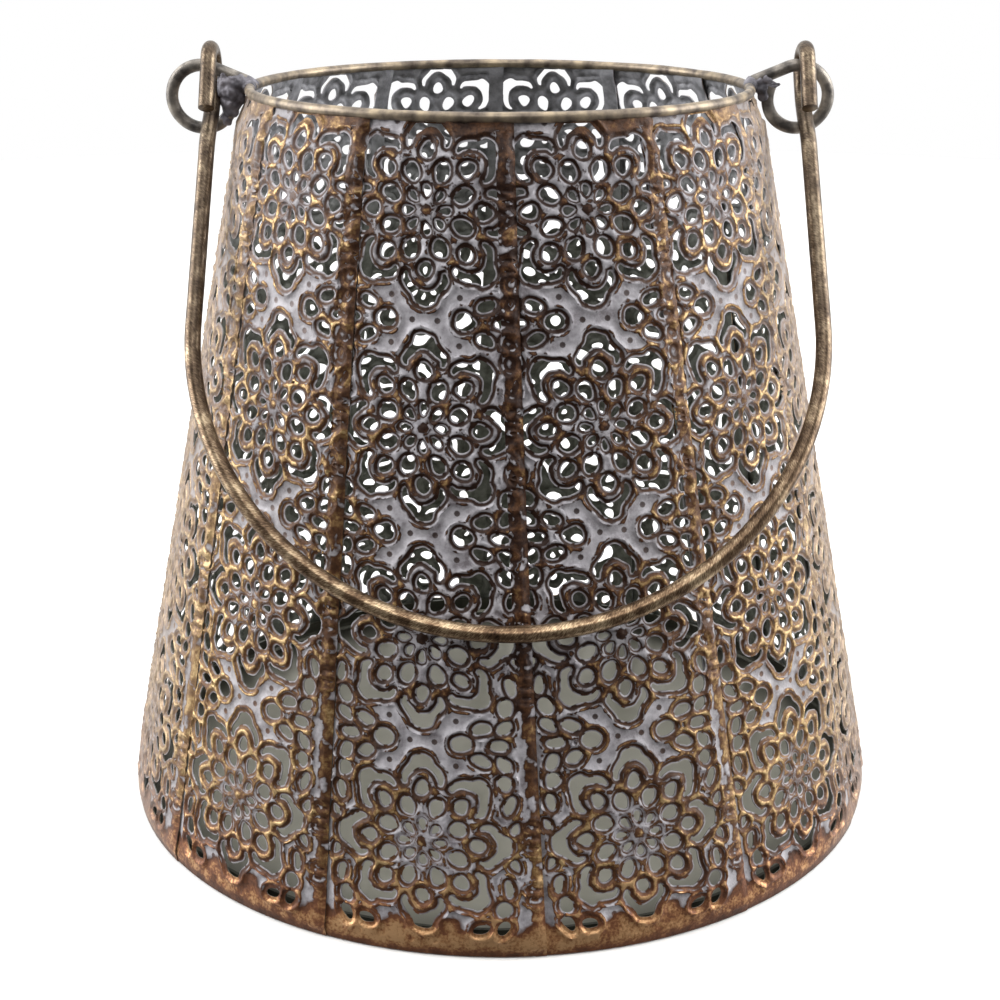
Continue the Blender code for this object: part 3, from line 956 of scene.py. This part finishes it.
HIDDEN_MOST = {1: 0.03, 2: 0.16, 3: 0.24, 4: 0.38}     # gild that wash still covers, up the sides
HIDDEN_SIDE = {1: 0.02, 2: 0.06, 3: 0.22}              # the same, from the front to the sides
LAID_OPEN = {1: 0.07, 3: 0.0, 4: 1.0}                  # from whole wash to none
FAR_SIDE_TURN = {1: 0.8, 2: 0.98, 3: 0.0, 4: 0.6}          # greying, by the sine of the angle from the front
MOUTH_LIGHT_RISE = {1: 0.13, 2: 0.17, 3: 0.0, 4: 1.0}        # painted light: from the inside's plain part to its paler mouth, where light falls in
METAL_SHARE = {1: 0.2, 2: 0.8, 3: 0.1, 4: 0.55}        # metal look, from patina to bare brass
SHEET_SHEEN = {1: 0.1, 2: 0.9, 3: 0.55, 4: 0.38}       # roughness, from patina to bare brass
HOOK_SHADE_RISE = {1: 0.075, 2: 0.14, 3: 0.0, 4: 0.8}        # painted shade: from the bail's bow to its darker arms and hooks
ROOM_DEPTH = {1: -1.0, 2: 1.0, 3: 0.0, 4: 1.0}         # from behind the camera to the background

# Noises and dents of the finishes; a noise's scale is 1 over its size
BLOTCHES = {"Scale": 1.0 / (3.03 * MM), "Detail": 4.0}     # a thumb's rubbing, broken by the ridges
SPECKS = {"Scale": 1.0 / (0.6667 * MM), "Detail": 3.0}      # grit of the cloth, drawn coarser to show
STAINS = {"Scale": 1.0 / (4.167 * MM), "Detail": 5.0, "Roughness": 0.65}
BRUSH_MARKS = {"Scale": 3.0, "Detail": 4.0}
BAIL_WEAR = {"Scale": 1.0 / (4.545 * MM), "Detail": 4.0}
SHEET_DENTS = {"Strength": 0.35, "Distance": 0.0003}
METAL_DENTS = {"Strength": 0.3, "Distance": 0.0003}
BAIL_DENTS = {"Strength": 0.3, "Distance": 0.0002}

# Shares of the finishes
CREST_FOOT = 0.08           # how far the foot's wear lays crests bare
FOOT_SHINE = 0.13           # how far it brightens the brass
WORN_THIN = 0.2             # how far the sides' wear thins the wash
SHEET_SPECULAR = 0.3        # wash and patina are matte
BRUSH_RUN = 1.0 / (0.8333 * MM)   # brush marks along the wire, each about 0.28 mm with BRUSH_MARKS' scale
BRUSH_SLANT = 12.0          # how far they slant in a turn round it
BRUSH_LAP = 5.0             # how much they change in a turn round it


def new_material(name):
    """Material with a Principled shader, its tree, and the object-space coordinates in metres."""
    material = bpy.data.materials.new(name)
    material.use_nodes = True
    tree = material.node_tree
    coordinates = add_node(tree, "ShaderNodeTexCoord").outputs["Object"]
    return material, tree, tree.nodes["Principled BSDF"], coordinates


def gild_and_crests(tree, aside, by_foot, blotch):
    """Gild with the crests that are bare in blotches: few at the front, most at the sides and the foot. The
    sides' share is painted light, where the side lamps fall.
    """
    lean = add_node(tree, "ShaderNodeMapRange", {0: aside, **LIT_SIDE_CRESTS})
    chance = add_node(tree, "ShaderNodeMath", {0: blotch, 1: lean}, operation="ADD")
    feeds = {0: by_foot, 1: CREST_FOOT, 2: chance}
    chance = add_node(tree, "ShaderNodeMath", feeds, operation="MULTIPLY_ADD")
    bared = add_node(tree, "ShaderNodeMapRange", {0: chance, **CREST_BARE})
    crest = add_node(tree, "ShaderNodeAttribute", attribute_name="crest").outputs["Fac"]
    crest = add_node(tree, "ShaderNodeMath", {0: crest, 1: bared}, operation="MULTIPLY")
    gild = add_node(tree, "ShaderNodeAttribute", attribute_name="gild").outputs["Fac"]
    return add_node(tree, "ShaderNodeMath", {0: gild, 1: crest}, operation="MAXIMUM")


def rubbed_brass(tree, up, aside, blotch, speck):
    """Gild, how brightly the brass is rubbed, and the wear and painted light of the two sides under the
    eyes, where the side lamps fall.
    """
    most_foot = add_node(tree, "ShaderNodeMapRange", {0: aside, **FOOT_MOST})
    by_foot = add_node(tree, "ShaderNodeMapRange", {0: up, **FOOT_WEAR, 4: most_foot})
    gild = gild_and_crests(tree, aside, by_foot, blotch)
    share = add_node(tree, "ShaderNodeMapRange", {0: blotch, **BLOTCH_SHARE})
    broken = add_node(tree, "ShaderNodeMapRange", {0: speck, **SPECK_SHARE})
    rub = gild
    for factor in (share, broken):
        rub = add_node(tree, "ShaderNodeMath", {0: rub, 1: factor}, operation="MULTIPLY")
    # Wear and painted light: the sides are rubbed brighter, where the side lamps fall
    lit_side_most = add_node(tree, "ShaderNodeMapRange", {0: up, **LIT_SIDE_MOST})
    rubbed_lit_side = add_node(tree, "ShaderNodeMapRange", {0: aside, **LIT_SIDE_RUB, 4: lit_side_most})
    worn_foot = add_node(tree, "ShaderNodeMath", {0: by_foot, 1: FOOT_SHINE}, operation="MULTIPLY")
    worn = add_node(tree, "ShaderNodeMath", {0: rubbed_lit_side, 1: worn_foot}, operation="MAXIMUM")
    # Painted light: more of the brass shows towards the sides, where the side lamps fall, and less at the
    # darker front
    lit_side = add_node(tree, "ShaderNodeMapRange", {0: aside, **LIT_SIDE_SHARE})
    most = add_node(tree, "ShaderNodeMath", {0: lit_side, 1: by_foot}, operation="MAXIMUM")
    feeds = {0: rub, 1: most, 2: worn}
    rub = add_node(tree, "ShaderNodeMath", feeds, operation="MULTIPLY_ADD", use_clamp=True)
    return gild, rub, rubbed_lit_side


def brass_colour(tree, up, rub):
    """Brass from dark patina to bare crests, redder and browner on the foot's plain band."""
    at_foot = add_node(tree, "ShaderNodeMapRange", {0: up, **BAND_RISE})
    wall = add_node(tree, "ShaderNodeValToRGB", {"Fac": rub}, stops=BRASS_STOPS)
    band = add_node(tree, "ShaderNodeValToRGB", {"Fac": rub}, stops=BAND_STOPS)
    return add_node(tree, "ShaderNodeMix", {"Factor": at_foot, "A": wall, "B": band}, data_type="RGBA")


def wash_colour(tree, place, rubbed_lit_side):
    """Wash that lies thicker here and thinner there over some 4 mm, dulled at the sides by the same wear and
    painted light.
    """
    stain = add_node(tree, "ShaderNodeTexNoise", {"Vector": place, **STAINS})
    wash = add_node(tree, "ShaderNodeValToRGB", {"Fac": stain}, stops=WASH_STOPS)
    feeds = {"Factor": rubbed_lit_side, "A": wash, "B": linear(DULL_WASH)}
    return add_node(tree, "ShaderNodeMix", feeds, data_type="RGBA")


def greyed_far_sides(tree, colour, parts, aside):
    """Colour greyed on the far sides, a quarter turn from the front."""
    level = add_node(tree, "ShaderNodeCombineXYZ", {0: parts[0], 1: parts[1]})
    radius = add_node(tree, "ShaderNodeVectorMath", {0: level}, operation="LENGTH")
    turn = add_node(tree, "ShaderNodeMath", {0: aside, 1: radius}, operation="DIVIDE")
    far_grey = add_node(tree, "ShaderNodeMapRange", {0: turn, **FAR_SIDE_TURN})
    feeds = {"Factor": far_grey, "A": colour, "B": linear(FAR_SIDE_GREY)}
    return add_node(tree, "ShaderNodeMix", feeds, data_type="RGBA")


def inside_colour(tree, up, blotch):
    """Plain inside of the sheet, which painted light makes paler by the mouth, where light falls in through
    the opening.
    """
    low = add_node(tree, "ShaderNodeValToRGB", {"Fac": blotch}, stops=LOW_INSIDE_STOPS)
    high = add_node(tree, "ShaderNodeValToRGB", {"Fac": blotch}, stops=LIT_MOUTH_INSIDE_STOPS)
    rise = add_node(tree, "ShaderNodeMapRange", {0: up, **MOUTH_LIGHT_RISE})
    return add_node(tree, "ShaderNodeMix", {"Factor": rise, "A": low, "B": high}, data_type="RGBA")


def washed_sheet():
    """Thin embossed brass sheet: a lilac-grey wash in the flats, brass rubbed bare on the ridges."""
    material, tree, shader, place = new_material("washed_embossed_brass")
    inner = add_node(tree, "ShaderNodeAttribute", attribute_name="inner").outputs["Fac"]
    parts = add_node(tree, "ShaderNodeSeparateXYZ", {"Vector": place}).outputs
    aside = add_node(tree, "ShaderNodeMath", {0: parts[0]}, operation="ABSOLUTE")
    # Blotches and specks decide where the wash was rubbed off the ridges
    blotch = add_node(tree, "ShaderNodeTexNoise", {"Vector": place, **BLOTCHES})
    speck = add_node(tree, "ShaderNodeTexNoise", {"Vector": place, **SPECKS})
    gild, rub, rubbed_lit_side = rubbed_brass(tree, parts[2], aside, blotch, speck)
    brass = brass_colour(tree, parts[2], rub)
    wash = wash_colour(tree, place, rubbed_lit_side)
    # Up the two sides more of the wash is left over the patina
    most_hidden = add_node(tree, "ShaderNodeMapRange", {0: parts[2], **HIDDEN_MOST})
    hidden = add_node(tree, "ShaderNodeMapRange", {0: aside, **HIDDEN_SIDE, 4: most_hidden})
    thin = add_node(tree, "ShaderNodeMath", {0: rubbed_lit_side, 1: WORN_THIN, 2: gild}, operation="MULTIPLY_ADD")
    open_share = add_node(tree, "ShaderNodeMapRange", {0: thin, **LAID_OPEN, 2: hidden})
    feeds = {"Factor": open_share, "A": wash, "B": brass}
    outside = greyed_far_sides(tree, add_node(tree, "ShaderNodeMix", feeds, data_type="RGBA"), parts, aside)
    inside = inside_colour(tree, parts[2], blotch)
    feeds = {"Factor": inner, "A": outside, "B": inside}
    colour = add_node(tree, "ShaderNodeMix", feeds, data_type="RGBA")
    outer = add_node(tree, "ShaderNodeMath", {0: 1.0, 1: inner}, operation="SUBTRACT")
    metal = add_node(tree, "ShaderNodeMapRange", {0: rub, **METAL_SHARE})
    metal = add_node(tree, "ShaderNodeMath", {0: metal, 1: outer}, operation="MULTIPLY")
    rough = add_node(tree, "ShaderNodeMapRange", {0: rub, **SHEET_SHEEN})
    dents = add_node(tree, "ShaderNodeBump", {**SHEET_DENTS, "Height": speck})
    finish = {"Base Color": colour, "Metallic": metal, "Roughness": rough, "Normal": dents}
    feed(tree, shader, {**finish, "Specular IOR Level": SHEET_SPECULAR})
    return material


def brushed_wire(name, stops, shaded_stops):
    """Brass wire with slanting brush marks that follow the wire's length, with painted shade that makes it
    darker and greyer up the arms to its hooks.
    """
    material, tree, shader, place = new_material(name)
    along = add_node(tree, "ShaderNodeAttribute", attribute_name="along").outputs["Fac"]
    around = add_node(tree, "ShaderNodeAttribute", attribute_name="around").outputs["Fac"]
    run = add_node(tree, "ShaderNodeMath", {0: along, 1: BRUSH_RUN}, operation="MULTIPLY")
    slant = add_node(tree, "ShaderNodeMath", {0: around, 1: BRUSH_SLANT, 2: run}, operation="MULTIPLY_ADD")
    lap = add_node(tree, "ShaderNodeMath", {0: around, 1: BRUSH_LAP}, operation="MULTIPLY")
    spot = add_node(tree, "ShaderNodeCombineXYZ", {0: slant, 1: lap})
    marks = add_node(tree, "ShaderNodeTexNoise", {"Vector": spot, **BRUSH_MARKS})
    wear = add_node(tree, "ShaderNodeTexNoise", {"Vector": place, **BAIL_WEAR})
    both = add_node(tree, "ShaderNodeMix", {"Factor": 0.5, "A": marks, "B": wear}, data_type="FLOAT")
    up = add_node(tree, "ShaderNodeSeparateXYZ", {"Vector": place}).outputs[2]
    # Painted shade: darker and greyer up the arms to the hooks
    shade_share = add_node(tree, "ShaderNodeMapRange", {0: up, **HOOK_SHADE_RISE})
    bow = add_node(tree, "ShaderNodeValToRGB", {"Fac": both}, stops=stops)
    hooks = add_node(tree, "ShaderNodeValToRGB", {"Fac": both}, stops=shaded_stops)
    colour = add_node(tree, "ShaderNodeMix", {"Factor": shade_share, "A": bow, "B": hooks}, data_type="RGBA")
    dents = add_node(tree, "ShaderNodeBump", {**BAIL_DENTS, "Height": both})
    feed(tree, shader, {"Base Color": colour, "Normal": dents, "Metallic": 0.85, "Roughness": 0.34})
    return material


def dull_metal(name, stops, size, metallic, roughness, edge=None):
    """Dull metal in clouds of a few colours; edge gives the radii where it darkens with grime and painted
    shade, and that dark colour.
    """
    material, tree, shader, place = new_material(name)
    feeds = {"Vector": place, "Scale": 1.0 / (size * MM), "Detail": 4.0}
    cloud = add_node(tree, "ShaderNodeTexNoise", feeds)
    colour = add_node(tree, "ShaderNodeValToRGB", {"Fac": cloud}, stops=stops)
    # Grime and painted shade: darker towards the edge, where the pan meets the wall
    if edge:
        start, stop, shade_and_grime = edge
        radius = add_node(tree, "ShaderNodeVectorMath", {0: place}, operation="LENGTH")
        feeds = {0: radius, 1: start * MM, 2: stop * MM, 3: 0.0, 4: 1.0}
        shade_and_grime_share = add_node(tree, "ShaderNodeMapRange", feeds)
        feeds = {"Factor": shade_and_grime_share, "A": colour, "B": linear(shade_and_grime)}
        colour = add_node(tree, "ShaderNodeMix", feeds, data_type="RGBA")
    dents = add_node(tree, "ShaderNodeBump", {**METAL_DENTS, "Height": cloud})
    feed(tree, shader, {"Base Color": colour, "Normal": dents, "Metallic": metallic, "Roughness": roughness})
    return material


# Pieces

def add_gores(material):
    """Twelve lapped gores."""
    source = flat_mesh()
    tree = roll_tree()
    values = {
        "Apex Reach": APEX * MM, "Wall Sine": WALL_SINE, "Wall Cosine": WALL_COSINE, "Half Gore": HALF_GORE,
        "Shingle": SHINGLE * MM, "Lean": LEAN, "Head Edge": HEAD_EDGE * MM, "Tuck": HEAD_TUCK * MM,
        "Tuck Start": (HEAD_EDGE - TUCK_LENGTH) * MM, "Settle": FOOT_SETTLE,
        "Settle Height": SETTLE_HEIGHT * MM, "Sheet": SHEET * MM, "Material": material,
    }
    for index in range(GORE_COUNT):
        values["Gore Angle"] = FIRST_GORE + index * 2 * HALF_GORE
        gore = grown(f"gore_sheet_{index + 1:02d}", source, tree, values)
        gore.data.set_sharp_from_angle(angle=math.radians(GORE_SHARP))
        hand_over(gore, "body", f"gore_{index + 1:02d}")


def path_mesh(path, closed=False):
    """Line of points in millimetres as a mesh of edges."""
    mesh = bpy.data.meshes.new("path")
    edges = [(index, index + 1) for index in range(len(path) - 1)]
    if closed:
        edges.append((len(path) - 1, 0))
    mesh.from_pydata([tuple(part * MM for part in point) for point in path], edges, [])
    return mesh


def eye_path():
    """Right eye: a straight tail from the rim wire, tangent to a nearly closed ring."""
    start = math.radians(EYE_TANGENT)
    direction = Vector((math.sin(start), -math.cos(start)))
    touch = Vector((EYE_X + EYE_RADIUS * math.cos(start), EYE_Z + EYE_RADIUS * math.sin(start)))
    tail = (touch - Vector((RIM_RADIUS, RIM_HEIGHT))).dot(direction) - RIM_WIRE / 2 - EYE_GAP
    end = touch - direction * tail
    run, rise = touch.x - end.x, touch.y - end.y
    path = []
    for part in range(TAIL_STEPS):
        path.append((end.x + run * part / TAIL_STEPS, 0.0, end.y + rise * part / TAIL_STEPS))
    for index in range(EYE_STEPS + 1):
        part = index / EYE_STEPS
        angle = math.radians(EYE_TANGENT + (EYE_END - EYE_TANGENT) * part)
        radius = EYE_RADIUS - EYE_CURL * smooth_step((part - CURL_FROM) / CURL_RUN)
        path.append((EYE_X + radius * math.cos(angle), 0.0, EYE_Z + radius * math.sin(angle)))
    return path


def hook_line():
    """Hook from its free end round to the arm, as (forward, down) from the pivot."""
    line = []
    for index in range(TIP_STEPS):
        down = HOOK_TIP * (1.0 - index / TIP_STEPS)
        line.append((HOOK_RADIUS - HOOK_CLOSE * down, down))
    for index in range(HOOK_STEPS + 1):
        angle = math.pi * index / HOOK_STEPS
        line.append((HOOK_RADIUS * math.cos(angle), -HOOK_RADIUS * math.sin(angle)))
    low, high = HOOK_BEND
    for index in range(1, BEND_STEPS + 1):
        part = index / BEND_STEPS
        line.append((-HOOK_RADIUS * (1.0 - smooth_step(part)), low + (high - low) * part))
    return line


def bail_tilt():
    """Angle from straight down at which the CAD model's bail rests."""
    low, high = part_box("bail")
    drop = BAIL_ARM + BOW_RADIUS
    front = -low[1] / MM - BAIL_WIRE / 2
    return math.asin(front / drop)


def bail_path():
    """Whole bail at rest, from the right hook's free end to the left one."""
    right = [(HOOK_REACH, -forward, -down) for forward, down in hook_line()]
    bend_end = HOOK_BEND[1]
    for index in range(1, ARM_STEPS):
        part = index / ARM_STEPS
        across = HOOK_REACH + (BOW_RADIUS - HOOK_REACH) * part
        right.append((across, 0.0, -bend_end - (BAIL_ARM - bend_end) * part))
    bow = []
    for index in range(BOW_STEPS + 1):
        angle = math.pi * index / BOW_STEPS
        bow.append((BOW_RADIUS * math.cos(angle), 0.0, -BAIL_ARM - BOW_RADIUS * math.sin(angle)))
    flat = right + bow + [(-x, y, z) for x, y, z in reversed(right)]
    tilt = bail_tilt()
    pivot = frame["joints"][0]["pos_m"][2] / MM
    path = []
    for x, y, z in flat:
        forward = y * math.cos(tilt) + z * math.sin(tilt)
        up = z * math.cos(tilt) - y * math.sin(tilt)
        path.append((x + BAIL_SHIFT, forward, pivot + up))
    return path


def add_wires(rim_finish, eye_finish, bail_finish):
    """Rim wire, eyes and bail."""
    tree = wire_tree()
    rim = []
    for index in range(RIM_STEPS):
        angle = math.tau * index / RIM_STEPS
        rim.append((RIM_RADIUS * math.sin(angle), RIM_RADIUS * math.cos(angle), RIM_HEIGHT))
    bead = grown("rim_bead", path_mesh(rim, True), tree, {**RIM_SHAPE, "Material": rim_finish})
    hand_over(bead, "body", "rim_wire")
    for name, hand in (("left_eye", -1), ("right_eye", 1)):
        path = [(hand * x, y, z) for x, y, z in eye_path()]
        ring = grown(f"{name}_ring", path_mesh(path), tree, {**EYE_SHAPE, "Material": eye_finish})
        ring.data.set_sharp_from_angle(angle=math.radians(WIRE_SHARP))
        hand_over(ring, "body", name)
    handle = grown("bail_handle", path_mesh(bail_path()), tree, {**BAIL_SHAPE, "Material": bail_finish})
    handle.data.set_sharp_from_angle(angle=math.radians(WIRE_SHARP))
    hand_over(handle, "bail", "bail")


# Balls that a weld is melted from, as across, along, up and radius; across is outward from the axis
RIGHT_WELD = (
    (61.3, 0.0, 181.6, 2.1), (62.8, 0.2, 182.2, 1.9), (64.4, 0.0, 183.0, 1.7), (63.6, -0.3, 180.6, 1.7),
    (64.4, 0.0, 178.9, 1.7), (65.6, 0.2, 181.3, 1.2), (66.7, 0.3, 181.2, 0.8), (67.6, 0.3, 181.5, 0.5),
    (60.6, -2.4, 181.2, 1.4), (60.6, 2.6, 181.1, 1.4),
)
LEFT_WELD = (
    (61.2, 0.0, 181.5, 2.2), (63.0, -0.3, 181.9, 2.3), (64.8, 0.0, 181.9, 2.4), (66.8, 0.0, 182.2, 1.9),
    (65.4, -0.2, 179.6, 2.5), (67.2, -0.2, 180.0, 1.7), (65.6, 0.0, 177.0, 2.4), (66.9, 0.0, 177.6, 1.6),
    (65.7, 0.0, 175.3, 2.0), (66.9, 0.0, 173.4, 1.75), (66.6, 0.0, 184.2, 1.6), (63.6, 0.0, 178.2, 1.8),
    (60.4, -2.8, 181.2, 1.6), (60.4, 2.8, 181.1, 1.5),
)


def melted(name, hand, balls):
    """Object of balls that are melted into one smooth skin."""
    shape = bmesh.new()
    for x, y, z, radius in balls:
        made = bmesh.ops.create_icosphere(shape, subdivisions=3, radius=radius * MM)
        bmesh.ops.translate(shape, verts=made["verts"], vec=Vector((hand * x, y, z)) * MM)
    mesh = bpy.data.meshes.new(name)
    shape.to_mesh(mesh)
    shape.free()
    weld = bpy.data.objects.new(name, mesh)
    bpy.context.scene.collection.objects.link(weld)
    melt = weld.modifiers.new("melt", "REMESH")
    melt.mode = "VOXEL"
    melt.voxel_size = WELD_VOXEL * MM
    soften = weld.modifiers.new("soften", "SMOOTH")
    soften.iterations = WELD_SMOOTHING
    graph = bpy.context.evaluated_depsgraph_get()
    skin = bpy.data.meshes.new_from_object(weld.evaluated_get(graph))
    weld.modifiers.clear()
    weld.data = skin
    return weld


def add_welds(material):
    """Rough weld that joins each eye's two wire ends to the rim wire."""
    for name, hand, balls in (("right_weld", 1, RIGHT_WELD), ("left_weld", -1, LEFT_WELD)):
        weld = melted(name, hand, balls)
        for vertex in weld.data.vertices:
            vertex.co += vertex.normal * WELD_ROUGHNESS * MM * noise.noise(vertex.co / MM * WELD_WAVES)
        weld.data.materials.append(material)
        weld.data.shade_smooth()
        hand_over(weld, "body")


def add_camera():
    """Camera of the photograph's view, with plain colours."""
    scene = bpy.context.scene
    view = bpy.data.cameras.new("camera")
    view.lens = LENS
    view.sensor_width = SENSOR
    view.shift_y = CAMERA_SHIFT
    view.clip_start = CLIP_START
    camera = bpy.data.objects.new("camera", view)
    camera.location = [part * MM for part in CAMERA_PLACE]
    camera.rotation_euler = (math.pi / 2 - CAMERA_PITCH, 0.0, 0.0)
    scene.collection.objects.link(camera)
    scene.camera = camera
    scene.view_settings.view_transform = "Standard"


def add_lamps():
    """Two soft side lights, a top light and a small front light."""
    for name, place, size, power in LAMPS:
        data = bpy.data.lights.new(name, "AREA")
        data.size = size
        data.energy = power
        lamp = bpy.data.objects.new(name, data)
        lamp.location = place
        aim = LAMP_AIM - Vector(place)
        lamp.rotation_euler = aim.to_track_quat("-Z", "Y").to_euler()
        bpy.context.scene.collection.objects.link(lamp)


def add_studio():
    """White studio to the sides and back, and the darker room behind the camera."""
    world = bpy.data.worlds.new("studio")
    bpy.context.scene.world = world
    world.use_nodes = True
    tree = world.node_tree
    way = add_node(tree, "ShaderNodeTexCoord").outputs["Generated"]
    parts = add_node(tree, "ShaderNodeSeparateXYZ", {"Vector": way}).outputs
    depth = add_node(tree, "ShaderNodeMapRange", {0: parts[1], **ROOM_DEPTH})
    light = tree.nodes["Background"]
    room = add_node(tree, "ShaderNodeValToRGB", {"Fac": depth}, stops=ROOM_STOPS)
    feed(tree, light, {"Color": room, "Strength": 1.0})
    rays = add_node(tree, "ShaderNodeLightPath").outputs
    seen = add_node(
        tree, "ShaderNodeMath", {0: rays["Is Camera Ray"], 1: rays["Is Transmission Ray"]},
        operation="ADD", use_clamp=True,
    )
    white = add_node(tree, "ShaderNodeBackground", {"Color": linear("#ffffff"), "Strength": 1.0})
    both = add_node(tree, "ShaderNodeMixShader", {0: seen, 1: light, 2: white})
    feed(tree, tree.nodes["World Output"], {"Surface": both})


def add_floor():
    """Pale floor of the studio, outside the object."""
    mesh = bpy.data.meshes.new("floor")
    turns = [math.tau * index / FLOOR_STEPS for index in range(FLOOR_STEPS)]
    edge = [(FLOOR_RADIUS * math.cos(turn), FLOOR_RADIUS * math.sin(turn), 0.0) for turn in turns]
    mesh.from_pydata(edge, [], [tuple(range(FLOOR_STEPS))])
    material, tree, shader, place = new_material("studio_floor")
    cloud = add_node(tree, "ShaderNodeTexNoise", {"Vector": place, "Scale": 2.0})
    colour = add_node(tree, "ShaderNodeValToRGB", {"Fac": cloud}, stops=FLOOR_STOPS)
    feed(tree, shader, {"Base Color": colour, "Roughness": 0.9})
    mesh.materials.append(material)
    floor = bpy.data.objects.new("floor", mesh)
    bpy.context.scene.collection.objects.link(floor)
    # The room that the metal mirrors is dark in front, so the floor stays out of its reflections
    floor.visible_glossy = False
    floor.visible_diffuse = False


# Antique brass wire, half rubbed: an uneven, soft sheen
rim_finish = dull_metal("rim_antique_brass", RIM_STOPS, size=3.846, metallic=0.55, roughness=0.4)
# Patinated wire: dark and grey-brown, with worn lights
eye_finish = dull_metal("eye_patinated_wire", EYE_STOPS, size=3.846, metallic=0.5, roughness=0.45)
# Weld scale: grey, rough and nearly matte
weld_finish = dull_metal("weld_scale", WELD_STOPS, size=3.333, metallic=0.3, roughness=0.5)
# Plain rolled sheet: a pale, blurred mirror that darkens by the wall with grime and painted shade
pan_finish = dull_metal(
    "pan_plain_sheet", PAN_STOPS, size=25.0, metallic=0.6, roughness=0.3, edge=PAN_SHADE_AND_GRIME,
)
bail_finish = brushed_wire("bail_brushed_brass", BAIL_STOPS, SHADED_HOOK_STOPS)
add_gores(washed_sheet())
add_wires(rim_finish, eye_finish, bail_finish)
add_welds(weld_finish)
frame["nodes"]["base_pan"].data.materials.clear()
frame["nodes"]["base_pan"].data.materials.append(pan_finish)
add_camera()
add_lamps()
add_studio()
add_floor()
